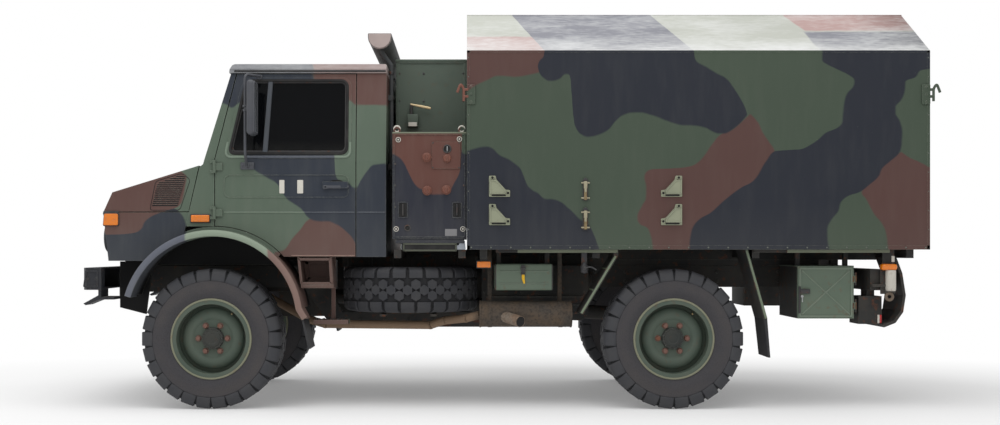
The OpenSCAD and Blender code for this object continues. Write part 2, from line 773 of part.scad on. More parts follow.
module cab_front() color(paint_green) place() {
  cowl = [
    [seam_x(1285), 1285], seam_high, screen_low + 0.9 * (screen_low - seam_high),
    [screen_x(roof_edge_z) + cab_wall / 2, roof_edge_z], [door_top_x - shut_gap, roof_edge_z],
    [door_front_x - shut_gap, door_break_z], [door_front_x - shut_gap, 1285]
  ];
  pane = [[screen_x(1690), 1690], [screen_x(roof_edge_z), roof_edge_z],
          [screen_x(roof_edge_z) + cab_wall - 9, roof_edge_z], [screen_x(1690) + cab_wall, 1690]];
  difference() {
    union() {
      both_sides() intersection() {
        side_prism(cowl, -1100, 0);
        side_band(0, cab_wall, -400, 400);
      }
      intersection() {
        side_prism(pane, -1200, 1200);
        cab_core(0, -400, 400, 1000, 2420);
      }
      intersection() {
        side_prism([[-125, 1285], [wall_x(1285), 1285], [wall_x(1700), 1700], [-80, 1700]], -1200, 1200);
        cab_core(2, -400, 400, 1000, 2420);
      }
      both_sides() {
        for (y = [-645, -570.5]) y_disc(bonnet_axis[0], y, y + 15.5 + 4, bonnet_axis[1], 11);
        y_disc(bonnet_axis[0], -645, -551, bonnet_axis[1], 5);
        for (y = [-645, -570.5]) block(-84, -58, y, y + 19.5, 1708, bonnet_axis[1]);
        for (z = hinge_heights) door_lug(z);
      }
    }
    intersection() {
      side_prism([[screen_x(1770) - 60, 1770], [screen_x(2330) - 60, 2330], [screen_x(2330) + 90, 2330],
                  [screen_x(1770) + 90, 1770]], -1200, 1200);
      cab_core(85, -400, 400, 1000, 2420);
    }
    both_sides() block(-60, door_front_x - shut_gap + 2, -cab_half + cab_wall, -500, 1240, 1290);
  }
}

module door_lug(z) {
  x = door_front_x - 3;
  for (z0 = [z - 45, z + 25.5]) {
    translate([x, -hinge_y, z0]) cylinder(h = 19.5, r = 12);
    block(x - 30, x - 6, -hinge_y, -cab_half + 1, z0, z0 + 19.5);
  }
  translate([x, -hinge_y, z - 45]) cylinder(h = 90, r = 6);
}

module door_hinge(z) {
  x = door_front_x - 3;
  translate([x, -hinge_y, z - 25]) cylinder(h = 50, r = 12);
  block(x + 5, x + 55, -hinge_y, -cab_half + 1, z - 25, z + 25);
}

module door_window(inset) {
  polygon(rounded([
    [122 + inset, 1802 + inset], [950 - inset, 1802 + inset],
    [950 - inset, 2319 - inset], [232 + inset, 2319 - inset]
  ], 45));
}

module left_door() difference() {
  union() {
    intersection() {
      rotate([90, 0, 0]) linear_extrude(1200) door_outline_cut(0);
      side_band(0, cab_wall, -100, 1300);
    }
    for (z = hinge_heights) door_hinge(z);
    block(783, 960, -cab_half - 22, -cab_half + 1, 1555, 1600);
  }
  rotate([90, 0, 0]) linear_extrude(1300) door_window(0);
  for (z = hinge_heights) translate([door_front_x - 3, -hinge_y, z - 60])
    cylinder(h = 120, r = 6 + run_gap);
}

module door_left() color(paint_green) place() left_door();

module door_right() color(paint_green) place() mirror([0, 1, 0]) left_door();

module left_door_glass() intersection() {
  rotate([90, 0, 0]) linear_extrude(1200) door_window(0);
  side_band(18, 24, -100, 1300);
}

module door_glass_left() color(glass_grey) place() left_door_glass();

module door_glass_right() color(glass_grey) place() mirror([0, 1, 0]) left_door_glass();

module left_mirror() {
  x = 262;
  y = -cab_half - 160;
  pipe_run([
    [330, -cab_half + 60.8, 2344], [330, -cab_half + 10, 2344], [x, y, 2334], [x, y, 1780],
    [x - 8, -cab_half - 40, 1712], [x - 8, -cab_half - 8, 1712]
  ], 11);
  block(x - 58, x + 38, -cab_half - 16, -cab_half, 1684, 1735);
  block(x + 18, x + 78, y - 80, y + 90, 1912, 2291);
  block(x, x + 30, y - 12, y + 12, 2080, 2120);
}

module mirror_left() color(rubber_black) place() left_mirror();

module mirror_right() color(rubber_black) place() mirror([0, 1, 0]) left_mirror();

module cab_back() color(paint_green) place() {
  x0 = door_rear_x + shut_gap;
  difference() {
    union() {
      both_sides() intersection() {
        block(x0, cab_back_x, -1200, 0, floor_z, roof_edge_z);
        side_band(0, cab_wall, 900, 1300);
      }
      intersection() {
        block(cab_back_x - cab_wall, cab_back_x, -1200, 1200, floor_z, roof_edge_z);
        cab_core(0, 900, 1300, 1000, 2420);
      }
    }
    cross_prism(rounded([[-480, 1830], [480, 1830], [480, 2240], [-480, 2240]], 50), 1100, 1300);
  }
}

module cab_glass() color(glass_grey) place() {
  cross_prism(rounded([[-480, 1830], [480, 1830], [480, 2240], [-480, 2240]], 50),
    cab_back_x - cab_wall + 18, cab_back_x - cab_wall + 24);
  intersection() {
    side_prism([[screen_x(1770) + 18, 1770], [screen_x(2330) + 18, 2330], [screen_x(2330) + 25, 2330],
                [screen_x(1770) + 25, 1770]], -1200, 1200);
    cab_core(85, -400, 400, 1000, 2420);
  }
}

module cab_roof() color(paint_green) place() {
  w = cab_half - lean_in;
  e = roof_edge_z;
  intersection() {
    cross_prism([
      [-w - 14, e], [-w - 14, e + 30], [-w + 12, e + 66], [-w + 120, e + 82], [-400, e + roof_rise - 4],
      [0, e + roof_rise], [400, e + roof_rise - 4], [w - 120, e + 82], [w - 12, e + 66], [w + 14, e + 30],
      [w + 14, e], [w - 45, e], [w - 70, e + 20], [w - 160, e + 36], [400, e + roof_rise - 50],
      [-400, e + roof_rise - 50], [-w + 160, e + 36], [-w + 70, e + 20], [-w + 45, e]
    ], 60, 1300);
    side_prism([[screen_x(e) - 12, e], [screen_x(e) - 10, e + 24], [screen_x(e) + 6, e + 58],
                [screen_x(e) + 60, e + 84], [420, e + 110], [cab_back_x - 60, e + 110], [cab_back_x, e + 60],
                [cab_back_x, e]], -1200, 1200);
  }
  intersection() {
    side_prism([[screen_x(e) - 8, e], [screen_x(e + 20), e + 20], [screen_x(e) + 40, e + 62],
                [screen_x(e) + 60, e + 62], [screen_x(e) + 45, e]], -1200, 1200);
    cross_prism([[-w + 20, e], [-w + 40, e + 40], [w - 40, e + 40], [w - 20, e]], 60, 1300);
  }
  cross_prism([[-w + 20, e], [-w + 40, e + 40], [w - 40, e + 40], [w - 20, e]],
    cab_back_x - cab_wall, cab_back_x);
}

module cab_floor() color(paint_dark) place() {
  w = cab_half - cab_wall;
  r = door_arch_r;
  top = floor_z + 32;
  difference() {
    union() {
      side_prism([
        [wall_x(1290), 1290], [20, 1290], [240, 1245], [420, 1128],
        [500, floor_z], [cab_back_x - cab_wall, floor_z],
        [cab_back_x - cab_wall, top], [530, top], [445, 1160], [255, 1278], [30, 1324],
        [wall_x(1324), 1324]
      ], -w, w);
      side_prism([[wall_x(1310), 1310], [40, 1310], [480, floor_z + 20], [480, 1340],
                  [wall_x(1420), 1420]], -260, 260);
      for (s = [-1, 1]) block(640, 1010, s * 480 - 200, s * 480 + 200, top - 10, 1370);
    }
    y_disc(arch_x, -1300, -w + 400, arch_z, r - 12);
    y_disc(arch_x, w - 400, 1300, arch_z, r - 12);
  }
}

module cab_steps() color(paint_dark) place() both_sides() {
  side_prism([[629, 850], [857, 850], [857, 876], [629, 876]], -1042, -800);
  side_prism([[600, floor_z], [629, 850], [644, 850], [615, floor_z]], -1038, -800);
  side_prism([[829, floor_z], [843, 850], [857, 850], [843, floor_z]], -1038, -800);
  block(620, 850, -812, -800, 850, floor_z);
  block(706, 950, -960, -780, 592, 622);
  block(820, 850, -830, -805, 592, 876);
}

module seats() color(paint_dark) place() for (s = [-1, 1]) translate([0, s * 480, 0]) {
  side_prism(rounded([[610, 1370], [1050, 1370], [1040, 1490], [600, 1500]], 30), -225, 225);
  side_prism(rounded([[1040, 1440], [1130, 1440], [1160, 2060], [1090, 2060]], 25), -225, 225);
}

module dashboard() color(rubber_black) place() difference() {
  union() {
    side_prism([[wall_x(1440), 1440], [150, 1440], [160, 1620], [110, 1690], [wall_x(1690), 1690]],
      -960, 960);
    rod([124, -480, 1452], [319, -480, 1712], 30);
  }
  rod([100, -480, 1420], [400, -480, 1820], 12 + run_gap);
}

module steering_wheel() color(rubber_black) place() translate([340, -480, 1740]) rotate([0, 36.8699, 0]) {
  rotate_extrude() translate([steering_diameter / 2, 0]) circle(r = 14, $fn = 24);
  translate([0, 0, -30]) cylinder(h = 45, r = 42);
  translate([0, 0, -250]) cylinder(h = 240, r = 12);
  for (a = [0, 120, 240]) rotate([0, 0, a]) block(20, steering_diameter / 2 - 4, -14, 14, -8, 6);
}

// Equipment behind the cab
module stowage_trough() color(paint_dark) place() {
  c = trough_x0 + 83;
  h = trough_length / 2;
  side_prism(concat([for (a = [180 : 15 : 360]) [c + 83 * cos(a), trough_z + 78 + 78 * sin(a)]],
    [[c + 83, trough_z + 106], [c - 83, trough_z + 106]]), -h, h);
  both_sides() {
    pipe_run([[c - 10, -h + 120, trough_z + 20], [cab_back_x + 22, -h + 120, 2455],
              [cab_back_x + 22, -h + 120, 1660]], 15);
    for (z = [1700, 2200]) block(cab_back_x, cab_back_x + 30, -h + 95, -h + 145, z, z + 40);
  }
}

module generator() color(paint_dark) place() {
  x0 = generator_x0;
  x1 = shelter_x0 - 2;
  z0 = shelter_z + 76;
  block(x0, x1, -1100, -150, z0, generator_top);
  block(x0 + 26, x1 - 20, -1095, -160, z0 - 30, z0 + 5);
  block(x0 + 60, x0 + 110, -1070, -160, shelter_z, z0);
  block(x1 - 110, x1 - 60, -1070, -160, shelter_z, z0);
  for (x = [x0 + 30, x1 - 35]) translate([x, -1060, generator_top + 20]) difference() {
    union() {
      rotate([90, 0, 0]) translate([0, 0, -6]) cylinder(h = 12, r = 25);
      translate([0, 0, -25]) cylinder(h = 10, r = 14);
    }
    rotate([90, 0, 0]) translate([0, 0, -10]) cylinder(h = 20, r = 14);
  }
}

module equipment_unit() color(paint_green) place() {
  block(generator_x0, shelter_x0, -640, 640, unit_bottom, unit_top);
  block(generator_x0 + 40, shelter_x0, -100, 640, 1300, unit_bottom + 5);
}

// Shelter
module shelter_floor() color(paint_green) place() {
  w = shelter_half - shelter_wall;
  block(shelter_x0 + shelter_wall, shelter_x1 - shelter_wall, -w, w, shelter_z, shelter_z + 70);
}

module shelter_sides() color(paint_green) place() both_sides()
  block(shelter_x0, shelter_x1, -shelter_half, -shelter_half + shelter_wall, shelter_z, eave_z);

function roof_inner() =
  let (f = roof_flat / 2, d = [shelter_half - f, shelter_top - eave_z])
  let (n = norm(d), s = shelter_wall * n / d[1])
  let (g = (shelter_top - shelter_wall - eave_z) * d[0] / d[1])
  [shelter_half - s, shelter_half - s - g];

module shelter_gable(x0, x1) {
  w = shelter_half - shelter_wall;
  r = roof_inner();
  cross_prism([
    [-w, shelter_z], [-w, eave_z], [-r[0], eave_z], [-r[1], shelter_top - shelter_wall],
    [r[1], shelter_top - shelter_wall], [r[0], eave_z], [w, eave_z], [w, shelter_z]
  ], x0, x1);
}

module shelter_front() color(paint_green) place() shelter_gable(shelter_x0, shelter_x0 + shelter_wall);

module shelter_rear() color(paint_green) place() {
  y = -shelter_door_w / 2 - 4;
  difference() {
    shelter_gable(shelter_x1 - shelter_wall, shelter_x1);
    block(shelter_x1 - 80, shelter_x1 + 20, -shelter_door_w / 2 - shut_gap, shelter_door_w / 2 + shut_gap,
      shelter_door_z - shut_gap, shelter_door_z + shelter_door_h + shut_gap);
  }
  for (z = [shelter_door_z + 180, shelter_door_z + shelter_door_h - 180]) {
    for (z0 = [z - 55, z + 30.5]) {
      translate([shelter_x1 + 14, y, z0]) cylinder(h = 24.5, r = 12);
      block(shelter_x1 - 1, shelter_x1 + 14, y - 50, y - 3, z0, z0 + 24.5);
    }
    translate([shelter_x1 + 14, y, z - 55]) cylinder(h = 110, r = 6);
  }
}

module shelter_door() color(paint_green) place() {
  y = -shelter_door_w / 2 - 4;
  difference() {
    union() {
      block(shelter_x1 - shelter_wall, shelter_x1, -shelter_door_w / 2, shelter_door_w / 2,
        shelter_door_z, shelter_door_z + shelter_door_h);
      for (z = [shelter_door_z + 180, shelter_door_z + shelter_door_h - 180]) {
        translate([shelter_x1 + 14, y, z - 30]) cylinder(h = 60, r = 12);
        block(shelter_x1 - 1, shelter_x1 + 14, y + 5, y + 90, z - 30, z + 30);
      }
      block(shelter_x1 - 1, shelter_x1 + 30, shelter_door_w / 2 - 90, shelter_door_w / 2 - 55, 1650, 1830);
    }
    for (z = [shelter_door_z + 180, shelter_door_z + shelter_door_h - 180])
      translate([shelter_x1 + 14, y, z - 70]) cylinder(h = 140, r = 6 + run_gap);
  }
}

module shelter_roof() color(paint_green) place() {
  r = roof_inner();
  f = roof_flat / 2;
  cross_prism([
    [-shelter_half, eave_z], [-f, shelter_top], [f, shelter_top], [shelter_half, eave_z],
    [r[0], eave_z], [r[1], shelter_top - shelter_wall], [-r[1], shelter_top - shelter_wall], [-r[0], eave_z]
  ], shelter_x0, shelter_x1);
}

module shelter_fittings() color(paint_green) place() both_sides() {
  y = -shelter_half;
  // Triangular brackets: station, direction
  for (t = [[153, 1], [1497, -1]]) for (z = [1292, 1489]) {
    x = shelter_x0 + t[0];
    d = t[1];
    side_prism([[x, z], [x + d * 145, z], [x + d * 145, z + 10], [x + d * 20, z + 145], [x, z + 145]],
      y - 22, y);
  }
  for (z = [1257, 1462]) block(shelter_x0 + 794, shelter_x0 + 854, y - 26, y, z, z + 144);
  block(shelter_x0, shelter_x0 + 58, y - 12, y, 2132, 2268);
  block(shelter_x1 - 58, shelter_x1, y - 12, y, 2132, 2278);
  pipe_run([[shelter_x0 + 10, y - 20, 2262], [shelter_x0 - 50, y - 20, 2262], [shelter_x0 - 62, y - 20, 2165],
            [shelter_x0 - 20, y - 20, 2158]], 8);
  pipe_run([[shelter_x1 - 10, y - 20, 2262], [shelter_x1 + 60, y - 20, 2262], [shelter_x1 + 85, y - 20, 2180],
            [shelter_x1 + 50, y - 20, 2172]], 8);
  block(shelter_x0 + 2, shelter_x0 + 20, y - 26, y - 8, 2250, 2268);
  block(shelter_x1 - 20, shelter_x1 - 2, y - 26, y - 8, 2250, 2268);
}

module rear_lamp_pair() both_sides() {
  block(rail_end, rail_end + 120, -1085, -1040, 860, 880);
  translate([rail_end + 136, -1085, 826]) cylinder(h = 151, r = 37);
  block(rail_end + 60, rail_end + 168, -1120, -1050, 974, 1022);
  block(rail_end + 60, rail_end + 145, -1085, -1060, 840, 890);
}

module lamps() color(glass_grey) place() {
  headlamp_pair();
  rear_lamp_pair();
}

frame_rails();
frame_crossmembers();
subframe();
front_bumper();
rear_beam();
front_axle();
rear_axle();
springs();
powertrain();
exhaust();
fuel_tank();
spare_tyre();
spare_rim();
spare_carrier();
side_lockers();
locker_door();
rear_mudguards();
mud_flaps();
front_wings();
front_panel();
lamps();
indicators();
bonnet();
cab_floor();
cab_front();
cab_back();
cab_roof();
cab_glass();
cab_steps();
seats();
dashboard();
steering_wheel();
door_left();
door_right();
door_glass_left();
door_glass_right();
mirror_left();
mirror_right();
stowage_trough();
generator();
equipment_unit();
shelter_floor();
shelter_sides();
shelter_front();
shelter_rear();
shelter_roof();
shelter_door();
shelter_fittings();
knuckle_left();
knuckle_right();
tie_rod();
tyre_front_left();
tyre_front_right();
tyre_rear_left();
tyre_rear_right();
rim_front_left();
rim_front_right();
rim_rear_left();
rim_rear_right();
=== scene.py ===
"""Looks of a military cargo truck with a closed shelter body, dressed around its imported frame."""

from __future__ import annotations

import logging
import math
from collections.abc import Iterable, Sequence
from dataclasses import dataclass
from enum import Enum

import bmesh
import bpy
from mathutils import Matrix, Vector


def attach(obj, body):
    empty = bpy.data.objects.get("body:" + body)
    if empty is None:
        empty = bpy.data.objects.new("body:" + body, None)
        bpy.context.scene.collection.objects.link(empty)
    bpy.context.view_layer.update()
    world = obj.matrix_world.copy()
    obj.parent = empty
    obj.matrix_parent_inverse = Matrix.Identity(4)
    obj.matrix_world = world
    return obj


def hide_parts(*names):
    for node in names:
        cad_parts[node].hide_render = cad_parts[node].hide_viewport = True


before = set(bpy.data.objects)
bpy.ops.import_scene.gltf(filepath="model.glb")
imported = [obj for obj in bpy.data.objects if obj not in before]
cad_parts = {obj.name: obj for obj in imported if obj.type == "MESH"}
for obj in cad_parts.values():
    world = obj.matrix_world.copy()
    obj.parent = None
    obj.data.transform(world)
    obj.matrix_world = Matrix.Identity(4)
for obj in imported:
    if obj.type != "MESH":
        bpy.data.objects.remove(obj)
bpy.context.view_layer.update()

LOG = logging.getLogger("truck")
LEFT, RIGHT = -1.0, 1.0
SIDES = ((LEFT, "left"), (RIGHT, "right"))
FORWARD, BACKWARD = (-1.0, 0.0, 0.0), (1.0, 0.0, 0.0)
LEFTWARD, UPWARD = (0.0, -1.0, 0.0), (0.0, 0.0, 1.0)
FRONT_AXLE, REAR_AXLE = -2.1, 1.15
AXLE_HEIGHT, HALF_TRACK = 0.494, 0.93
SHARP_ANGLE = 32.0
Colour = tuple[float, float, float, float]
Outline = tuple[tuple[float, float], ...]


class Slot(str, Enum):
    """Material slots of the record."""

    CAMOUFLAGE = "camouflage_paint"
    CHASSIS = "chassis_paint"
    STEEL = "bare_steel"
    EXHAUST = "exhaust_steel"
    RUBBER = "rubber"
    TYRE = "tyre_rubber"
    RIM = "rim_paint"
    CLEAR = "clear_lens"
    AMBER = "amber_lens"
    GLASS = "window_glass"
    CLOTH = "seat_cloth"
    PLASTIC = "black_plastic"
    FITTING = "fitting_paint"


class Tone(str, Enum):
    """The three colours of the camouflage."""

    GREEN = "green"
    DARK = "dark"
    BROWN = "brown"


class Along(Enum):
    """The axis along which the two borders of a patch are given."""

    LENGTH = 0
    HEIGHT = 1


def station(mm: float) -> float:
    """Row X in metres of a place given in millimetres behind the front axle."""
    return mm / 1000.0 + FRONT_AXLE


def srgb(red: float, green: float, blue: float) -> Colour:
    """Linear colour of three screen values from 0 to 255."""
    values = [v / 255.0 for v in (red, green, blue)]
    linear = [v / 12.92 if v <= 0.04045 else ((v + 0.055) / 1.055) ** 2.4 for v in values]
    return linear[0], linear[1], linear[2], 1.0


def darker(colour: Colour, share: float) -> Colour:
    """A colour dimmed to a share of its light."""
    return colour[0] * share, colour[1] * share, colour[2] * share, 1.0


# Shader maths


class Value:
    """A shader socket that takes part in arithmetic."""

    def __init__(self, tree: bpy.types.NodeTree, socket: bpy.types.NodeSocket) -> None:
        """Keeps the tree and the socket."""
        self.tree = tree
        self.socket = socket

    def _math(self, operation: str, first: Value | float, second: Value | float = 0.0) -> Value:
        """Adds one Math node.

        Args:
            operation: Name of the operation.
            first: First operand.
            second: Second operand.

        Returns:
            The result as a value.
        """
        node = self.tree.nodes.new("ShaderNodeMath")
        node.operation = operation
        for socket, item in zip(node.inputs, (first, second)):
            if isinstance(item, Value):
                self.tree.links.new(item.socket, socket)
            else:
                socket.default_value = item
        return Value(self.tree, node.outputs[0])

    def __add__(self, other: Value | float) -> Value:
        """Sum."""
        return self._math("ADD", self, other)

    def __radd__(self, other: float) -> Value:
        """Sum with the number first."""
        return self._math("ADD", other, self)

    def __sub__(self, other: Value | float) -> Value:
        """Difference."""
        return self._math("SUBTRACT", self, other)

    def __rsub__(self, other: float) -> Value:
        """Difference with the number first."""
        return self._math("SUBTRACT", other, self)

    def __mul__(self, other: Value | float) -> Value:
        """Product."""
        return self._math("MULTIPLY", self, other)

    def __truediv__(self, other: Value | float) -> Value:
        """Quotient."""
        return self._math("DIVIDE", self, other)

    def high(self, other: Value | float) -> Value:
        """The larger of the two."""
        return self._math("MAXIMUM", self, other)

    def low(self, other: Value | float) -> Value:
        """The smaller of the two."""
        return self._math("MINIMUM", self, other)

    def root(self) -> Value:
        """Square root."""
        return self._math("SQRT", self)

    def sine(self) -> Value:
        """Sine of an angle in radians."""
        return self._math("SINE", self)

    def size(self) -> Value:
        """Absolute value."""
        return self._math("ABSOLUTE", self)

    def folded(self, span: float) -> Value:
        """The value folded back and forth between 0 and span."""
        return self._math("PINGPONG", self, span)

    def clip(self) -> Value:
        """The value held between 0 and 1."""
        return self.high(0.0).low(1.0)

    def step(self, edge: Value | float, soft: float) -> Value:
        """A soft step from 0 below the edge to 1 above it."""
        return ((self - edge) * (0.5 / soft) + 0.5).clip()


class Recipe:
    """A material in the making: one principled shader and the nodes behind it."""

    def __init__(self, name: str) -> None:
        """Starts an empty material of that name."""
        self.material = bpy.data.materials.new(name)
        self.material.use_nodes = True
        self.tree = self.material.node_tree
        self.tree.nodes.clear()
        output = self.tree.nodes.new("ShaderNodeOutputMaterial")
        self.shader = self.tree.nodes.new("ShaderNodeBsdfPrincipled")
        self.tree.links.new(self.shader.outputs[0], output.inputs[0])
        self.point = self.node("ShaderNodeTexCoord", output="Object")

    def feed(self, socket: bpy.types.NodeSocket, item: object) -> None:
        """Links a value to a socket, or sets a constant on it."""
        if isinstance(item, Value):
            self.tree.links.new(item.socket, socket)
        else:
            socket.default_value = item

    def node(
        self,
        kind: str,
        settings: dict[str, object] | None = None,
        inputs: dict[str | int, object] | None = None,
        output: str | int = 0,
    ) -> Value:
        """Adds any node.

        Args:
            kind: Type of the node.
            settings: Attributes that are set first; curve takes the points of a float curve.
            inputs: Values or links of its sockets.
            output: Name or place of the output that is wanted.

        Returns:
            That output as a value.
        """
        made = self.tree.nodes.new(kind)
        for name, value in (settings or {}).items():
            if name == "curve":
                self._shape_curve(made, value)
            else:
                setattr(made, name, value)
        for name, value in (inputs or {}).items():
            self.feed(made.inputs[name], value)
        return Value(self.tree, made.outputs[output])

    @staticmethod
    def _shape_curve(made: bpy.types.Node, points: Outline) -> None:
        """Puts the points into a float curve node."""
        curve = made.mapping.curves[0]
        curve.points[0].location = points[0]
        curve.points[1].location = points[-1]
        for point in points[1:-1]:
            curve.points.new(*point)
        for point in curve.points:
            point.handle_type = "AUTO_CLAMPED"
        made.mapping.update()

    def set(self, **sockets: object) -> None:
        """Feeds sockets of the principled shader, named with underscores for spaces."""
        for name, item in sockets.items():
            self.feed(self.shader.inputs[name.replace("_", " ")], item)

    def axes(self) -> tuple[Value, Value, Value]:
        """The three object coordinates."""
        parts = self.node("ShaderNodeSeparateXYZ", inputs={0: self.point})
        outputs = parts.socket.node.outputs
        return Value(self.tree, outputs[0]), Value(self.tree, outputs[1]), Value(self.tree, outputs[2])

    def noise(self, scale: float, detail: float = 2.0, stretch: Sequence[float] | None = None) -> Value:
        """Noise from 0 to 1 on object coordinates.

        Args:
            scale: Features per metre.
            detail: Octaves.
            stretch: Scales of the three axes, or none.

        Returns:
            The noise as a value.
        """
        point = self.point
        if stretch is not None:
            point = self.node("ShaderNodeMapping", inputs={"Vector": point, "Scale": tuple(stretch)})
        sockets = {"Vector": point, "Scale": scale, "Detail": detail, "Roughness": 0.55}
        return self.node("ShaderNodeTexNoise", inputs=sockets)

    def blend(self, first: object, second: object, factor: Value | float) -> Value:
        """Mixes two colours by a factor from 0 to 1."""
        return self.node("ShaderNodeMix", {"data_type": "RGBA"}, {0: factor, 6: first, 7: second}, 2)

    def edges(self, radius: float) -> Value:
        """A mask that rises to 1 within a radius in metres of an edge."""
        soft = self.node("ShaderNodeBevel", {"samples": 4}, {"Radius": radius})
        true = self.node("ShaderNodeNewGeometry", output="Normal")
        dot = self.node("ShaderNodeVectorMath", {"operation": "DOT_PRODUCT"}, {0: soft, 1: true}, "Value")
        return ((1.0 - dot) * 6.0).clip()

    def relief(self, height: Value, strength: float, distance: float, soft: float = 0.0) -> None:
        """Feeds the Normal with a bump, on edges softened by a radius in metres."""
        inputs: dict[str | int, object] = {"Height": height, "Strength": strength, "Distance": distance}
        if soft:
            inputs["Normal"] = self.node("ShaderNodeBevel", {"samples": 4}, {"Radius": soft})
        self.set(Normal=self.node("ShaderNodeBump", inputs=inputs))


# Finishes


@dataclass(frozen=True)
class Finish:
    """A finish that makes its material once."""

    name: str
    slot: Slot

    def material(self) -> bpy.types.Material:
        """The material of this finish."""
        known = bpy.data.materials.get(self.name)
        if known is None:
            recipe = Recipe(self.name)
            self.mix(recipe)
            known = recipe.material
        return known

    def mix(self, recipe: Recipe) -> None:
        """Feeds the shader of the material."""
        raise NotImplementedError


@dataclass(frozen=True)
class Patch:
    """One sprayed patch between two borders, in millimetres of the row frame."""

    tone: Tone
    along: Along
    low: Outline
    high: Outline

    @staticmethod
    def _border(recipe: Recipe, points: Outline, at: Value, other: tuple[float, float]) -> Value:
        """A border curve in metres, read at a coordinate in metres."""
        start, end = points[0][0] / 1000.0, points[-1][0] / 1000.0
        low, high = other
        scaled = tuple(
            ((u / 1000.0 - start) / (end - start), (v / 1000.0 - low) / (high - low)) for u, v in points
        )
        where = ((at - start) / (end - start)).clip()
        curve = recipe.node("ShaderNodeFloatCurve", {"curve": scaled}, {"Value": where})
        return curve * (high - low) + low

    def mask(self, recipe: Recipe, length: Value, height: Value, soft: float) -> Value:
        """The patch as a mask.

        Args:
            recipe: Material in the making.
            length: Coordinate along the truck.
            height: Coordinate upwards.
            soft: Half width of the sprayed edge.

        Returns:
            1 inside the patch and 0 outside.
        """
        at, across = (length, height) if self.along is Along.LENGTH else (height, length)
        values = [v / 1000.0 for _, v in self.low + self.high]
        span = (min(values) - 0.05, max(values) + 0.05)
        ends = [u / 1000.0 for u, _ in self.low + self.high]
        inside = at.step(min(ends), soft) * (1.0 - at.step(max(ends), soft))
        above = across.step(self._border(recipe, self.low, at, span), soft)
        below = 1.0 - across.step(self._border(recipe, self.high, at, span), soft)
        return inside * above * below


def flat(start: float, end: float, value: float) -> Outline:
    """A straight border of one value."""
    return (start, value), (end, value)


SHELTER_PATCHES = (
    Patch(
        Tone.BROWN, Along.LENGTH,
        ((-330, 2207), (-242, 2265), (-167, 2300), (-86, 2331), (29, 2325), (133, 2342), (240, 2363)),
        flat(-330, 240, 2640),
    ),
    Patch(
        Tone.BROWN, Along.HEIGHT,
        (
            (1100, 994), (1220, 976), (1272, 953), (1301, 901), (1347, 884), (1428, 916), (1486, 944),
            (1555, 944), (1624, 932), (1668, 953), (1684, 1010), (1689, 1184), (1705, 1264), (1734, 1311),
            (1786, 1357), (1855, 1403), (1924, 1466), (1953, 1538), (1999, 1596), (2069, 1671),
        ),
        ((1100, 1842), (1705, 1842), (1809, 1838), (1867, 1804), (1936, 1757), (2017, 1717), (2069, 1671)),
    ),
    Patch(
        Tone.BROWN, Along.HEIGHT,
        (
            (1100, 2629), (1243, 2612), (1301, 2589), (1359, 2543), (1416, 2508), (1474, 2474), (1520, 2445),
            (1572, 2474), (1636, 2543), (1688, 2577), (1751, 2647), (1803, 2719),
        ),
        ((1100, 2970), (1590, 2970), (1682, 2947), (1705, 2901), (1734, 2843), (1763, 2774), (1803, 2719)),
    ),
    Patch(Tone.BROWN, Along.LENGTH, flat(2250, 2980, 2700), flat(2250, 2980, 2930)),
    Patch(
        Tone.DARK, Along.LENGTH,
        (
            (189, 2398), (202, 2346), (226, 2317), (272, 2296), (341, 2311), (387, 2343), (408, 2338),
            (424, 2236), (436, 2063), (456, 1971), (497, 1922), (543, 1906), (606, 1918), (676, 1952),
            (733, 2017), (791, 2062), (884, 2075), (987, 2056), (1091, 2017), (1184, 1991), (1264, 1986),
            (1357, 1971), (1458, 1929), (1495, 1930), (1538, 1953), (1596, 1999), (1651, 2063),
        ),
        (
            (189, 2398), (202, 2438), (226, 2461), (236, 2540), (249, 2975), (1259, 2975), (1274, 2530),
            (1288, 2442), (1357, 2398), (1458, 2338), (1492, 2322), (1567, 2230), (1619, 2144), (1651, 2063),
        ),
    ),
    Patch(
        Tone.DARK, Along.LENGTH, flat(-330, 630, 1050),
        (
            (-330, 1798), (-248, 1826), (-179, 1840), (-132, 1830), (-75, 1780), (6, 1737), (58, 1699),
            (93, 1636), (122, 1567), (156, 1534), (191, 1515), (237, 1477), (301, 1471), (352, 1451),
            (410, 1403), (479, 1336), (537, 1301), (572, 1243), (616, 1134), (630, 1093),
        ),
    ),
    Patch(
        Tone.DARK, Along.HEIGHT,
        (
            (1100, 1242), (1220, 1253), (1290, 1276), (1336, 1319), (1376, 1388), (1468, 1492), (1555, 1608),
            (1601, 1689), (1740, 1781), (1807, 1839), (1821, 2023), (1855, 2093), (1890, 2144), (1936, 2196),
            (1971, 2277), (2005, 2308), (2075, 2314), (2155, 2326), (2213, 2347), (2259, 2387), (2294, 2395),
            (2340, 2347), (2375, 2277), (2409, 2202), (2444, 2168), (2513, 2168), (2690, 2230),
        ),
        (
            (1100, 2220), (1209, 2206), (1278, 2208), (1324, 2231), (1393, 2283), (1451, 2300), (1492, 2347),
            (1520, 2427), (1572, 2497), (1636, 2566), (1688, 2589), (1740, 2647), (1792, 2704), (1844, 2722),
            (1936, 2727), (2017, 2710), (2075, 2681), (2109, 2681), (2167, 2722), (2236, 2748), (2294, 2751),
            (2323, 2820), (2369, 2854), (2392, 2970), (2690, 2970),
        ),
    ),
)

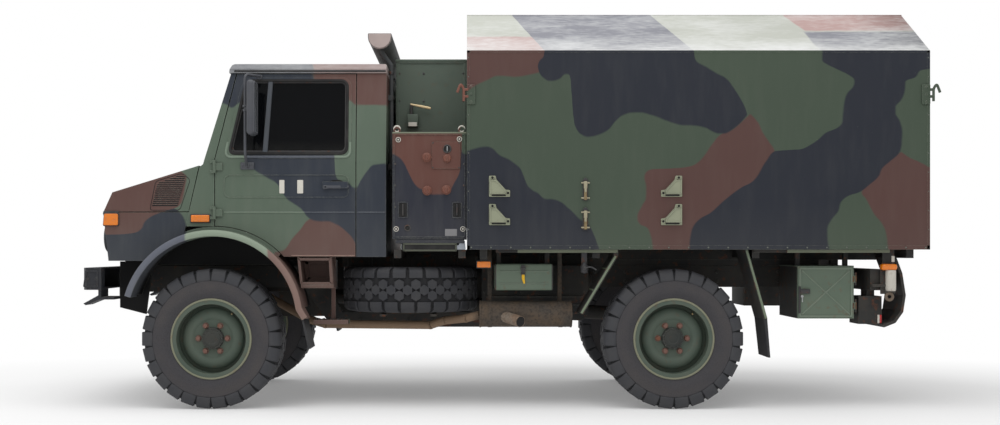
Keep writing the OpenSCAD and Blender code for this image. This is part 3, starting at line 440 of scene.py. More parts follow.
CAB_PATCHES = (
    Patch(
        Tone.DARK, Along.HEIGHT, flat(560, 1425, -3050),
        (
            (560, -2268), (1167, -2268), (1223, -2275), (1279, -2277), (1335, -2292), (1380, -2320),
            (1405, -2353), (1425, -2443),
        ),
    ),
    Patch(
        Tone.BROWN, Along.HEIGHT, flat(1226, 1760, -3050),
        (
            (1226, -2870), (1240, -2634), (1268, -2589), (1313, -2567), (1346, -2533), (1374, -2477),
            (1400, -2398), (1419, -2342), (1447, -2314), (1503, -2297), (1571, -2284), (1632, -2277),
            (1666, -2308), (1760, -2450),
        ),
    ),
    Patch(
        Tone.DARK, Along.LENGTH,
        (
            (-2062, 2171), (-2034, 2163), (-1989, 2149), (-1949, 2126), (-1904, 2154), (-1792, 2210),
            (-1680, 2266), (-1362, 2289),
        ),
        flat(-2062, -1362, 2600),
    ),
    Patch(
        Tone.BROWN, Along.LENGTH,
        ((-1362, 2232), (-1273, 2210), (-1144, 2188), (-1095, 2167), (-1074, 2148), (-840, 2142)),
        flat(-1362, -840, 2600),
    ),
    Patch(
        Tone.BROWN, Along.LENGTH, flat(-1703, -1070, 560),
        (
            (-1703, 1082), (-1646, 1104), (-1590, 1121), (-1534, 1199), (-1478, 1261), (-1422, 1330),
            (-1343, 1350), (-1070, 1350),
        ),
    ),
    Patch(
        Tone.DARK, Along.LENGTH,
        (
            (-1871, 1784), (-1837, 1722), (-1781, 1672), (-1714, 1632), (-1646, 1593), (-1613, 1548),
            (-1579, 1492), (-1523, 1447), (-1467, 1402), (-1433, 1357), (-1400, 1335), (-1343, 1321),
            (-1273, 1318), (-1208, 1289), (-1155, 1251), (-1111, 1203), (-1088, 1155), (-1079, 1000),
            (-840, 1000),
        ),
        (
            (-1871, 1800), (-1246, 1822), (-1235, 1742), (-1232, 1650), (-1208, 1612), (-1144, 1596),
            (-1090, 1558), (-1052, 1607), (-1004, 1677), (-961, 1720), (-840, 1731),
        ),
    ),
)

GENERATOR_PATCHES = (
    Patch(
        Tone.DARK, Along.LENGTH, flat(-900, -290, 1000),
        ((-900, 1960), (-360, 1960), (-335, 1800), (-290, 1790)),
    ),
    Patch(
        Tone.BROWN, Along.LENGTH,
        (
            (-860, 1805), (-791, 1776), (-748, 1733), (-721, 1679), (-689, 1615), (-646, 1561), (-593, 1535),
            (-539, 1510), (-475, 1510), (-421, 1540), (-389, 1594), (-357, 1658), (-344, 1765), (-338, 1990),
        ),
        flat(-860, -338, 2000),
    ),
)


@dataclass(frozen=True)
class CamouflagePaint(Finish):
    """Three-colour matt paint with sprayed borders, dust, streaks and worn edges, plus painted sky highlight
    with chalk streaks on roofs and painted shade inside the wheel arches.
    """

    patches: tuple[Patch, ...] = ()
    green: Colour = srgb(86, 99, 86)
    dark: Colour = srgb(48, 53, 62)
    brown: Colour = srgb(92, 68, 63)
    # Paler copies of the three tones, blended in on roofs as painted sky highlight.
    pale: tuple[Colour, Colour, Colour] = (srgb(176, 178, 170), srgb(128, 129, 136), srgb(172, 146, 142))
    dust: Colour = srgb(150, 148, 138)
    length: tuple[float, float] = (-3.05, -0.84)
    height: tuple[float, float] = (0.6, 2.6)
    left: float = -1.05
    lean: float = 0.45
    fall: float = 0.25
    fold: float = -0.9
    # Share of painted sky highlight and chalk streaks on a roof, or 0 for none.
    highlight_and_chalk: float = 0.0
    dusty: float = 0.16
    rough: float = 0.62
    # Half width within which inner wing panels get painted shade, or 0 for none.
    inside: float = 0.0
    spray: float = 0.007
    worn: Colour = srgb(168, 172, 158)
    chip: Colour = srgb(150, 150, 140)
    chalk: Colour = srgb(214, 215, 214)
    shade: Colour = srgb(30, 30, 30)
    # Near-black colour of the painted shade inside the wheel arches.
    arch_shade: Colour = srgb(17, 17, 18)

    def mix(self, recipe: Recipe) -> None:
        """Feeds the shader of the material."""
        x, y, z = recipe.axes()
        wobble = (recipe.noise(7.0, 3.0) - 0.5) * 0.014
        low, high = self.length
        floor, top = self.height
        along = (x + (y - self.left) * self.lean + wobble - low).folded(high - low) + low
        up = (z - (y - self.fold).high(0.0) * self.fall + wobble - floor).folded(top - floor) + floor
        fresh = {Tone.GREEN: self.green, Tone.DARK: self.dark, Tone.BROWN: self.brown}
        pale = dict(zip((Tone.GREEN, Tone.DARK, Tone.BROWN), self.pale))
        colour: object = self.green
        sky_lit: object = self.pale[0]
        for patch in self.patches:
            mask = patch.mask(recipe, along, up, self.spray)
            colour = recipe.blend(colour, fresh[patch.tone], mask)
            if self.highlight_and_chalk:
                sky_lit = recipe.blend(sky_lit, pale[patch.tone], mask)
        cloudy = recipe.noise(2.2, 4.0)
        streak = recipe.noise(4.0, 4.0, (4.0, 4.0, 0.7))
        grain = recipe.noise(70.0, 3.0)
        if self.highlight_and_chalk:
            # Painted sky highlight: the roof's tones turn paler, less so towards the rear.
            colour = recipe.blend(colour, sky_lit, (1.0 - x.step(2.74, 0.22) * 0.6) * self.highlight_and_chalk)
            speck = recipe.noise(30.0, 5.0, (0.5, 1.5, 1.5))
            wash = recipe.noise(2.6, 6.0, (0.7, 1.8, 1.8)) * 0.9 + speck * 0.5 - 0.62
            wash = (wash + (1.0 - z.step(2.59, 0.07)) * 0.3) * self.highlight_and_chalk
            colour = recipe.blend(colour, self.chalk, (wash * 1.6).clip())
        colour = recipe.blend(colour, self.dust, (streak - 0.45).clip() * self.dusty)
        colour = recipe.blend(colour, self.dust, (1.0 - z.step(1.25, 0.2)) * cloudy * self.dusty * 0.9)
        colour = recipe.blend(colour, self.shade, (0.5 - cloudy).clip() * 0.22)
        # Painted shade: inner wing panels within the arches turn near black below 1.3 m.
        if self.inside:
            arch_shade = (1.0 - y.size().step(self.inside, 0.02)) * (1.0 - z.step(1.3, 0.05))
            colour = recipe.blend(colour, self.arch_shade, arch_shade)
        edge = recipe.edges(0.006)
        colour = recipe.blend(colour, self.worn, edge * grain.step(0.5, 0.2) * 0.4)
        colour = recipe.blend(colour, self.chip, grain.step(0.76, 0.02) * cloudy.step(0.6, 0.05) * 0.5)
        recipe.set(Base_Color=colour, Roughness=(cloudy - 0.5) * 0.25 + grain * 0.1 + (self.rough - 0.05))
        recipe.set(Specular_IOR_Level=0.2)
        height = recipe.noise(420.0, 1.0) * 0.25 + recipe.noise(1.6, 1.0) * 3.0
        recipe.relief(height, 0.16, 0.002, 0.003)


@dataclass(frozen=True)
class PlainPaint(Finish):
    """One-colour paint with dust on it, rust in spots and worn edges."""

    colour: Colour = srgb(50, 52, 52)
    dust: Colour = srgb(112, 102, 90)
    dusty: float = 0.3
    rust: float = 0.15
    rough: float = 0.6
    metal: float = 0.0
    worn: Colour = srgb(140, 140, 132)

    def mix(self, recipe: Recipe) -> None:
        """Feeds the shader of the material."""
        cloudy = recipe.noise(5.0, 5.0)
        grain = recipe.noise(85.0, 3.0)
        spots = recipe.noise(23.0, 4.0)
        colour: object = recipe.blend(self.colour, self.dust, (cloudy - 0.38).clip() * self.dusty * 2.0)
        colour = recipe.blend(colour, srgb(22, 21, 20), (0.5 - cloudy).clip() * 0.6)
        rusty = spots.step(0.66 - 0.2 * self.rust, 0.04) * min(1.0, self.rust * 3.0)
        colour = recipe.blend(colour, srgb(104, 62, 40), rusty * grain.step(0.4, 0.2))
        colour = recipe.blend(colour, self.worn, recipe.edges(0.004) * grain.step(0.48, 0.2) * 0.45)
        recipe.set(Base_Color=colour, Roughness=(cloudy - 0.5) * 0.3 + rusty * 0.2 + self.rough)
        recipe.set(Metallic=self.metal, Specular_IOR_Level=0.28)
        recipe.relief(grain * 0.6 + spots * 0.8, 0.2, 0.0015, 0.0025)


@dataclass(frozen=True)
class RustySteel(Finish):
    """Heat-browned steel with rust in layers."""

    base: Colour = srgb(92, 80, 68)
    rust: Colour = srgb(128, 88, 60)
    deep: Colour = srgb(52, 44, 40)
    pale_to: float = -9.0

    def mix(self, recipe: Recipe) -> None:
        """Feeds the shader of the material."""
        layer = recipe.noise(9.0, 6.0)
        flake = recipe.noise(60.0, 4.0)
        colour = recipe.blend(self.base, self.rust, layer.step(0.5, 0.12))
        colour = recipe.blend(colour, self.deep, flake.step(0.56, 0.1) * 0.7)
        x, _, _ = recipe.axes()
        colour = recipe.blend(
            colour, srgb(138, 114, 92), (1.0 - x.step(self.pale_to, 0.03)) * (flake * 0.5 + 0.45),
        )
        recipe.set(Base_Color=colour, Roughness=0.62 + flake * 0.3, Metallic=(0.5 - layer).clip() * 0.8)
        recipe.set(Specular_IOR_Level=0.3)
        recipe.relief(flake + layer, 0.4, 0.002, 0.002)


@dataclass(frozen=True)
class TyreRubber(Finish):
    """Dusty tyre rubber: a paler smooth wall and a dark floor of the tread, round one or two axles."""

    axles: tuple[tuple[float, float], ...] = ((FRONT_AXLE, AXLE_HEIGHT), (REAR_AXLE, AXLE_HEIGHT))
    lying: bool = False
    wall: Colour = srgb(64, 63, 66)
    tread: Colour = srgb(40, 41, 43)
    dust: Colour = srgb(84, 78, 74)

    def mix(self, recipe: Recipe) -> None:
        """Feeds the shader of the material."""
        x, y, z = recipe.axes()
        second = y if self.lying else z
        reach: Value | None = None
        for first_at, second_at in self.axles:
            away = ((x - first_at) * (x - first_at) + (second - second_at) * (second - second_at)).root()
            reach = away if reach is None else reach.low(away)
        smear = recipe.noise(6.0, 5.0)
        grit = recipe.noise(120.0, 3.0)
        wall = 1.0 - reach.step(0.4085, 0.003)
        colour = recipe.blend(self.tread, self.wall, wall)
        band = 1.0 - ((reach - 0.375) * 16.0).size().clip()
        colour = recipe.blend(colour, self.dust, (band * 0.34 + 0.07) * smear.step(0.48, 0.2) * wall)
        colour = recipe.blend(colour, srgb(30, 30, 31), grit.step(0.6, 0.15) * 0.25)
        recipe.set(Base_Color=colour, Roughness=0.7 + grit * 0.2, Specular_IOR_Level=0.25)
        rings = (reach * 900.0).sine()
        recipe.relief(grit * 0.6 + rings * wall * 0.12 + smear * 0.4, 0.3, 0.0015, 0.002)


@dataclass(frozen=True)
class Rubber(Finish):
    """Black rubber of seals and flaps, greyed with dust."""

    colour: Colour = srgb(34, 34, 36)

    def mix(self, recipe: Recipe) -> None:
        """Feeds the shader of the material."""
        smear = recipe.noise(8.0, 5.0)
        grain = recipe.noise(160.0, 2.0)
        colour = recipe.blend(self.colour, srgb(84, 82, 80), smear.step(0.55, 0.2) * 0.3)
        recipe.set(Base_Color=colour, Roughness=0.55 + smear * 0.3, Specular_IOR_Level=0.35)
        recipe.relief(grain, 0.2, 0.001)


@dataclass(frozen=True)
class WindowGlass(Finish):
    """Dark tinted glass with a film of dust along its lower edge."""

    tint: Colour = srgb(9, 10, 12)
    cover: float = 0.93
    dust_line: float = 1.84

    def mix(self, recipe: Recipe) -> None:
        """Feeds the shader of the material."""
        _, _, z = recipe.axes()
        film = recipe.noise(14.0, 5.0) * (1.0 - z.step(self.dust_line, 0.05))
        colour = recipe.blend(self.tint, srgb(96, 94, 90), film * 0.16)
        recipe.set(Base_Color=colour, Roughness=film * 0.3 + 0.03, Alpha=film * 0.06 + self.cover)
        recipe.set(Specular_IOR_Level=0.1)


@dataclass(frozen=True)
class Lens(Finish):
    """A coloured lamp lens with fine ribs and a little grime."""

    colour: Colour = srgb(206, 100, 8)
    ribs: float = 260.0

    def mix(self, recipe: Recipe) -> None:
        """Feeds the shader of the material."""
        x, y, _ = recipe.axes()
        along = x + y * 0.7
        rib = (along * (self.ribs * math.tau / 2.0)).sine()
        grime = recipe.noise(40.0, 4.0)
        deep = darker(self.colour, 0.45)
        colour = recipe.blend(self.colour, deep, (rib * 0.5 + 0.5) * 0.35)
        colour = recipe.blend(colour, srgb(70, 60, 48), grime.step(0.62, 0.1) * 0.4)
        recipe.set(Base_Color=colour, Roughness=0.16 + grime * 0.2, Coat_Weight=0.4, Specular_IOR_Level=0.5)
        recipe.relief(rib, 0.3, 0.001)


@dataclass(frozen=True)
class Metal(Finish):
    """Bright or yellow metal with scratches."""

    colour: Colour = srgb(168, 168, 164)
    rough: float = 0.35

    def mix(self, recipe: Recipe) -> None:
        """Feeds the shader of the material."""
        scratch = recipe.noise(30.0, 4.0, (1.0, 9.0, 1.0))
        stain = recipe.noise(18.0, 4.0)
        dull = darker(self.colour, 0.4)
        colour = recipe.blend(self.colour, dull, stain.step(0.56, 0.12) * 0.7)
        recipe.set(Base_Color=colour, Roughness=scratch * 0.25 + self.rough, Metallic=1.0 - stain * 0.3)
        recipe.relief(scratch, 0.1, 0.001, 0.002)


@dataclass(frozen=True)
class Cloth(Finish):
    """Coarse woven seat cloth."""

    colour: Colour = srgb(70, 72, 66)
    threads: float = 2400.0

    def mix(self, recipe: Recipe) -> None:
        """Feeds the shader of the material."""
        x, y, z = recipe.axes()
        warp = (y * self.threads).sine()
        weft = ((x + z) * self.threads).sine()
        weave = warp * weft * 0.5 + 0.5
        fade = recipe.noise(6.0, 4.0)
        colour = recipe.blend(self.colour, srgb(44, 46, 42), weave * 0.6)
        colour = recipe.blend(colour, srgb(104, 104, 94), fade.step(0.56, 0.15) * 0.4)
        recipe.set(Base_Color=colour, Roughness=0.85 + fade * 0.1, Sheen_Weight=0.2, Specular_IOR_Level=0.2)
        recipe.relief(weave + fade, 0.4, 0.001)


@dataclass(frozen=True)
class Plastic(Finish):
    """Grained black plastic, dusty in its grain."""

    colour: Colour = srgb(40, 41, 44)

    def mix(self, recipe: Recipe) -> None:
        """Feeds the shader of the material."""
        grain = recipe.noise(300.0, 2.0)
        dust = recipe.noise(9.0, 5.0)
        colour = recipe.blend(self.colour, srgb(92, 92, 92), dust.step(0.56, 0.15) * 0.25)
        colour = recipe.blend(colour, srgb(120, 122, 124), recipe.edges(0.003) * 0.3)
        recipe.set(Base_Color=colour, Roughness=0.45 + grain * 0.25, Specular_IOR_Level=0.4)
        recipe.relief(grain, 0.25, 0.0008, 0.003)


BODY_GREEN = srgb(67, 78, 66)
CAB_PAINT = CamouflagePaint("cab_camouflage_finish", Slot.CAMOUFLAGE, CAB_PATCHES)
# The cab roof takes some painted sky highlight and chalk streaks.
CAB_ROOF_PAINT = CamouflagePaint("cab_roof_finish", Slot.CAMOUFLAGE, CAB_PATCHES, highlight_and_chalk=0.35)
# Inner wing panels near the middle turn near black: painted shade inside the arches.
WING_PAINT = CamouflagePaint("wing_camouflage_finish", Slot.CAMOUFLAGE, CAB_PATCHES, inside=0.8)
# Paler copies of the cab tones: painted highlight on creases, fold and sills.
CAB_HIGHLIGHT_PAINT = CamouflagePaint(
    "cab_highlight_finish", Slot.CAMOUFLAGE, CAB_PATCHES, green=srgb(114, 128, 114), dark=srgb(78, 82, 92),
    brown=srgb(134, 104, 96),
)


def shelter_paint(name: str, highlight_and_chalk: float) -> CamouflagePaint:
    """The camouflage of the shelter, with some share of painted sky highlight and chalk streaks."""
    return CamouflagePaint(
        name, Slot.CAMOUFLAGE, SHELTER_PATCHES, green=BODY_GREEN, dark=srgb(40, 43, 51),
        brown=srgb(84, 61, 57), length=(-0.322, 2.958), height=(1.115, 2.9), left=-1.15, lean=0.35, fall=0.6,
        fold=-0.552, highlight_and_chalk=highlight_and_chalk, dusty=0.08, rough=0.66,
    )


SHELTER_PAINT = shelter_paint("shelter_camouflage_finish", 0.0)
# The shelter roof takes full painted sky highlight and chalk streaks.
SHELTER_ROOF_PAINT = shelter_paint("shelter_roof_finish", 1.0)
GENERATOR_PAINT = CamouflagePaint(
    "generator_camouflage_finish", Slot.CAMOUFLAGE, GENERATOR_PATCHES, green=BODY_GREEN,
    dark=srgb(43, 45, 54), brown=srgb(94, 63, 56), length=(-0.9, -0.29), height=(1.0, 2.0), left=-1.1,
    lean=0.2, fall=0.1, dusty=0.14,
)
UNIT_PAINT = PlainPaint("unit_green_finish", Slot.CAMOUFLAGE, srgb(80, 92, 82), dusty=0.12, rust=0.05)
BOX_PAINT = PlainPaint("box_green_finish", Slot.FITTING, srgb(92, 106, 92), dusty=0.16, rust=0.1)
CHASSIS_PAINT = PlainPaint("chassis_finish", Slot.CHASSIS, srgb(40, 41, 41), dusty=0.3, rust=0.2, rough=0.66)
AXLE_PAINT = PlainPaint("axle_finish", Slot.CHASSIS, srgb(46, 44, 42), dusty=0.45, rust=0.35, rough=0.7)
RIM_PAINT = PlainPaint(
    "rim_finish", Slot.RIM, srgb(76, 88, 78), dusty=0.2, rust=0.08, worn=srgb(130, 112, 88),
)
FITTING_PAINT = PlainPaint("fitting_finish", Slot.FITTING, srgb(140, 144, 122), dusty=0.1, rust=0.06)
GUARD_PAINT = PlainPaint("mudguard_edge_finish", Slot.CHASSIS, srgb(112, 124, 104), dusty=0.15, rust=0.08)
NUT_PAINT = PlainPaint("wheel_nut_finish", Slot.STEEL, srgb(112, 80, 70), dusty=0.2, rust=0.3)
KNOB_PAINT = PlainPaint("knob_finish", Slot.CAMOUFLAGE, srgb(112, 68, 56), dusty=0.15, rust=0.05, rough=0.5)
TROUGH_PAINT = PlainPaint("trough_finish", Slot.CHASSIS, srgb(58, 62, 64), dusty=0.2, rust=0.05)
TROUGH_END = PlainPaint("trough_end_finish", Slot.CHASSIS, srgb(166, 151, 147), dusty=0.1, rust=0.02)
PALE_PLATE = PlainPaint(
    "pale_plate_finish", Slot.FITTING, srgb(206, 202, 192), dusty=0.2, rust=0.02, rough=0.7,
)
YELLOW_TAG = PlainPaint("yellow_tag_finish", Slot.FITTING, srgb(214, 168, 34), dusty=0.15, rust=0.02)
WOOD = PlainPaint("wooden_grip_finish", Slot.FITTING, srgb(226, 202, 158), dusty=0.06, rust=0.02, rough=0.5)
EXHAUST = RustySteel("exhaust_finish", Slot.EXHAUST, srgb(84, 68, 54), srgb(104, 76, 54))
SILENCER = RustySteel(
    "silencer_finish", Slot.EXHAUST, srgb(72, 66, 60), srgb(84, 71, 58), srgb(50, 46, 43), station(1860),
)
TAIL_PIPE = RustySteel(
    "tail_pipe_finish", Slot.EXHAUST, srgb(128, 118, 106), srgb(122, 100, 82), srgb(84, 74, 66),
)
TYRE = TyreRubber("tyre_finish", Slot.TYRE)
SPARE = TyreRubber("spare_tyre_finish", Slot.TYRE, axles=((-0.72, -0.6),), lying=True, tread=srgb(36, 36, 38))
TREAD = Rubber("tread_finish", Slot.TYRE, srgb(55, 56, 60))
SPARE_TREAD = Rubber("spare_tread_finish", Slot.TYRE, srgb(46, 47, 51))
SEAL = Rubber("seal_finish", Slot.RUBBER)
DOOR_SEAL = Rubber("door_seal_finish", Slot.RUBBER, srgb(66, 71, 78))
FLAP = Rubber("flap_finish", Slot.RUBBER, srgb(40, 41, 44))
GLASS = WindowGlass("glass_finish", Slot.GLASS)
AMBER = Lens("amber_finish", Slot.AMBER, srgb(228, 122, 6))
RED = Lens("red_finish", Slot.AMBER, srgb(190, 20, 24), 220.0)
STEEL = Metal("bright_steel_finish", Slot.STEEL, srgb(176, 178, 178))
MIRROR = Metal("mirror_glass_finish", Slot.GLASS, srgb(200, 204, 208), 0.02)
BRASS = Metal("latch_finish", Slot.STEEL, srgb(150, 132, 100), 0.4)
DARK_STEEL = PlainPaint(
    "dark_steel_finish", Slot.STEEL, srgb(62, 62, 64), dusty=0.2, rust=0.2, metal=0.4, rough=0.5,
)
SEAT_CLOTH = Cloth("seat_cloth_finish", Slot.CLOTH)
PLASTIC = Plastic("plastic_finish", Slot.PLASTIC)
MIRROR_GREY = Plastic("mirror_shell_finish", Slot.PLASTIC, srgb(66, 68, 74))
# Near-black finish: painted shade in slots, cups, holes and gaps, and the black of the window seals.
SHADE_AND_SEAL_BLACK = Rubber("shade_and_seal_black_finish", Slot.RUBBER, srgb(10, 10, 11))
FLANGE_PAINT = PlainPaint(
    "flange_finish", Slot.RIM, srgb(122, 124, 104), dusty=0.2, rust=0.12, worn=srgb(168, 158, 132),
)
# Darker rim green in the groove round the dish: painted shade.
GROOVE_SHADE_PAINT = PlainPaint("rim_groove_shade_finish", Slot.RIM, srgb(58, 67, 58), dusty=0.15, rust=0.05)
HUB_PAINT = PlainPaint("hub_finish", Slot.RIM, srgb(44, 48, 46), dusty=0.2, rust=0.06)
# Paler copies of the cab tones on the arch edges: painted highlight.
ARCH_HIGHLIGHT_PAINT = CamouflagePaint(
    "arch_highlight_finish", Slot.CAMOUFLAGE,
    (Patch(Tone.DARK, Along.HEIGHT, flat(500, 1400, -3050), flat(500, 1400, -2264)),
     Patch(Tone.BROWN, Along.HEIGHT, flat(500, 1400, -1691), flat(500, 1400, -1300))),
    green=srgb(134, 147, 130), dark=srgb(92, 96, 108), brown=srgb(122, 97, 90), lean=0.0, fall=0.0,
)
HEADLAMP_GLASS = WindowGlass("headlamp_glass_finish", Slot.CLEAR, srgb(200, 205, 205), 0.28, 1.0)
RIVET_PAINT = PlainPaint("rivet_finish", Slot.FITTING, srgb(96, 102, 94), dusty=0.2, rust=0.1)
BUMPER_PAINT = PlainPaint("bumper_finish", Slot.CHASSIS, srgb(40, 42, 47), dusty=0.12, rust=0.05, rough=0.62)
GREY_PLATE = PlainPaint(
    "grey_plate_finish", Slot.FITTING, srgb(122, 122, 124), dusty=0.2, rust=0.02, rough=0.7,
)
CORNER_PAINT = PlainPaint("generator_corner_finish", Slot.FITTING, srgb(150, 156, 164), dusty=0.1, rust=0.03)
FOOT_PAINT = PlainPaint("generator_foot_finish", Slot.FITTING, srgb(72, 76, 65), dusty=0.15, rust=0.06)
LATCH_PAINT = PlainPaint(
    "latch_lever_finish", Slot.FITTING, srgb(152, 146, 122), dusty=0.15, rust=0.08, rough=0.5,
)
OLIVE = PlainPaint("olive_edge_finish", Slot.FITTING, srgb(112, 118, 100), dusty=0.12, rust=0.06)
LOCKER_EDGE = PlainPaint("locker_edge_finish", Slot.FITTING, srgb(108, 120, 106), dusty=0.12, rust=0.08)
RING = Rubber("ring_finish", Slot.RUBBER, srgb(104, 90, 76))
WHITE_PAINT = PlainPaint(
    "white_lamp_finish", Slot.CLEAR, srgb(196, 192, 182), dusty=0.3, rust=0.12, rough=0.5,
)


# Forms


class Form:
    """A mesh in the making, shaped by bmesh operators."""

    def __init__(self) -> None:
        """Starts empty."""
        self.bm = bmesh.new()

    def _bevel(self, geom: Iterable[object], width: float, segments: int, affect: str = "EDGES") -> None:
        """Rounds some edges or some corners."""
        bmesh.ops.bevel(
            self.bm, geom=list(geom), offset=width, offset_type="OFFSET", segments=segments, profile=0.5,
            affect=affect, clamp_overlap=True, material=-1,
        )

    def box(self, low: Sequence[float], high: Sequence[float], bevel: float = 0.0, segments: int = 2) -> Form:
        """Adds a box between two corners, with rounded edges."""
        part = Form() if bevel else self
        verts = bmesh.ops.create_cube(part.bm, size=1.0)["verts"]
        size = Vector(high) - Vector(low)
        bmesh.ops.scale(part.bm, vec=size, verts=verts)
        bmesh.ops.translate(part.bm, vec=Vector(low) + size / 2.0, verts=verts)
        if bevel:
            part._bevel(part.bm.edges, bevel, segments)
            self.stamp(part, (Matrix(),))
        return self

    def rod(
        self, start: Sequence[float], end: Sequence[float], radius: float, end_radius: float | None = None,
        sides: int = 20, bevel: float = 0.0,
    ) -> Form:
        """Adds a round or many-sided bar.

        Args:
            start: Middle of the first end.
            end: Middle of the second end.
            radius: Radius at the first end.
            end_radius: Radius at the second end, or none for the same.
            sides: Number of sides.
            bevel: Rounding of its rims.

        Returns:
            This form.
        """
        part = Form()
        a, b = Vector(start), Vector(end)
        along = b - a
        bmesh.ops.create_cone(
            part.bm, cap_ends=True, segments=sides, radius1=radius,
            radius2=radius if end_radius is None else end_radius, depth=along.length,
        )
        if bevel:
            rims = [e for e in part.bm.edges if abs(e.verts[0].co.z - e.verts[1].co.z) < 1e-6]
            part._bevel(rims, bevel, 2)
        turn = along.to_track_quat("Z", "Y").to_matrix().to_4x4()
        return self.stamp(part, (Matrix.Translation((a + b) / 2.0) @ turn,))

    def lathe(
        self, profile: Sequence[tuple[float, float]], place: Matrix, steps: int, closed: bool = False,
    ) -> Form:
        """Adds a turned shape.

        Args:
            profile: Radius and height of each point.
            place: Matrix from the turning axis, local Z, to the row frame.
            steps: Number of steps of the full turn.
            closed: Whether the profile is a closed loop.

        Returns:
            This form.
        """
        part = Form()
        verts = [part.bm.verts.new((r, 0.0, h)) for r, h in profile]
        pairs = list(zip(verts, verts[1:])) + ([(verts[-1], verts[0])] if closed else [])
        edges = [part.bm.edges.new(pair) for pair in pairs]
        bmesh.ops.spin(
            part.bm, geom=verts + edges, cent=(0.0, 0.0, 0.0), axis=(0.0, 0.0, 1.0), angle=math.tau,
            steps=steps, use_merge=True, use_duplicate=False,
        )
        bmesh.ops.remove_doubles(part.bm, verts=part.bm.verts, dist=1e-6)
        return self.stamp(part, (place,))

    def plate(
        self, outline: Sequence[Sequence[float]], depth: Sequence[float], corner: float = 0.0,
        rim: float = 0.0, bevel: float = 0.0, only: Sequence[int] | None = None,
    ) -> Form:
        """Adds a flat plate, or the rim of one.

        Args:
            outline: Corners in order, all in one plane.
            depth: Thickness as a vector.
            corner: Radius of the outline's corners.
            rim: Width of the rim, or 0 for a full plate.
            bevel: Rounding of its edges.
            only: Which corners are rounded, or none for all.

        Returns:
            This form.
        """
        part = Form()
        verts = [part.bm.verts.new(point) for point in outline]
        face = part.bm.faces.new(verts)
        if corner:
            part._bevel(verts if only is None else [verts[i] for i in only], corner, 5, "VERTICES")
            face = part.bm.faces[:][0]
        faces = [face]
        if rim:
            faces = bmesh.ops.inset_region(
                part.bm, faces=[face], thickness=rim, use_boundary=True, use_even_offset=True,
            )["faces"]
            keep = set(faces)
            inner = [f for f in part.bm.faces if f not in keep]
            bmesh.ops.delete(part.bm, geom=inner, context="FACES_ONLY")
        back = bmesh.ops.extrude_face_region(part.bm, geom=faces)["geom"]
        moved = [g for g in back if isinstance(g, bmesh.types.BMVert)]
        bmesh.ops.translate(part.bm, vec=Vector(depth), verts=moved)
        bmesh.ops.recalc_face_normals(part.bm, faces=part.bm.faces)
        if bevel:
            sharp = [e for e in part.bm.edges if len(e.link_faces) == 2 and e.calc_face_angle(0.0) > 0.6]
            part._bevel(sharp, bevel, 1)
        return self.stamp(part, (Matrix(),))

    def tube(
        self, points: Sequence[Sequence[float]], radius: float, bend: float = 0.0, sides: int = 3,
    ) -> Form:
        """Adds a round tube along a path.

        Args:
            points: Corners of the path.
            radius: Radius of the tube.
            bend: Radius that the corners are rounded to.
            sides: Resolution of its round.

        Returns:
            This form.
        """
        path = bent_path(points, bend) if bend else [Vector(p) for p in points]
        curve = bpy.data.curves.new("run", "CURVE")
        curve.dimensions = "3D"
        curve.bevel_depth = radius
        curve.bevel_resolution = sides
        curve.use_fill_caps = True
        spline = curve.splines.new("POLY")
        spline.points.add(len(path) - 1)
        for point, place in zip(spline.points, path):
            point.co = (*place, 1.0)
        holder = bpy.data.objects.new("run", curve)
        mesh = bpy.data.meshes.new_from_object(holder)
        part = Form()
        part.bm.from_mesh(mesh)
        bmesh.ops.remove_doubles(part.bm, verts=part.bm.verts, dist=1e-5)
        bpy.data.objects.remove(holder)
        bpy.data.curves.remove(curve)
        bpy.data.meshes.remove(mesh)
        return self.stamp(part, (Matrix(),))

    def stamp(self, other: Form, places: Iterable[Matrix]) -> Form:
        """Adds copies of another form at some places."""
        mesh = bpy.data.meshes.new("stamp")
        other.bm.to_mesh(mesh)
        for place in places:
            start = len(self.bm.verts)
            self.bm.from_mesh(mesh)
            self.bm.verts.ensure_lookup_table()
            bmesh.ops.transform(self.bm, matrix=place, verts=self.bm.verts[start:])
        bpy.data.meshes.remove(mesh)
        return self

    def moved(self, place: Matrix) -> Form:
        """Moves the whole form."""
        bmesh.ops.transform(self.bm, matrix=place, verts=self.bm.verts)
        return self

    def both(self) -> Form:
        """Adds the mirror image across the middle of the truck."""
        copy = Form().stamp(self, (Matrix.Diagonal((1.0, -1.0, 1.0, 1.0)),))
        return self.stamp(copy, (Matrix(),))

    def mesh(self, name: str, sharp: float = SHARP_ANGLE) -> bpy.types.Mesh:
        """The finished mesh, with faces outwards and smooth up to an angle in degrees."""
        bmesh.ops.recalc_face_normals(self.bm, faces=self.bm.faces)
        made = bpy.data.meshes.new(name)
        self.bm.to_mesh(made)
        self.bm.free()
        made.polygons.foreach_set("use_smooth", [True] * len(made.polygons))
        made.set_sharp_from_angle(angle=math.radians(sharp))
        return made


def bent_path(points: Sequence[Sequence[float]], radius: float, steps: int = 6) -> list[Vector]:
    """A path with its corners rounded.

    Args:
        points: Corners of the path.
        radius: Distance from a corner at which its bend starts.
        steps: Points of one bend.

    Returns:
        The points of the rounded path.
    """
    corners = [Vector(p) for p in points]
    path = [corners[0]]
    for before, corner, after in zip(corners, corners[1:], corners[2:]):
        reach = min(radius, (before - corner).length * 0.45, (after - corner).length * 0.45)
        start = corner + (before - corner).normalized() * reach
        end = corner + (after - corner).normalized() * reach
        for i in range(steps + 1):
            t = i / steps
            path.append(start * (1 - t) ** 2 + corner * (2 * t * (1 - t)) + end * t ** 2)
    return path + [corners[-1]]


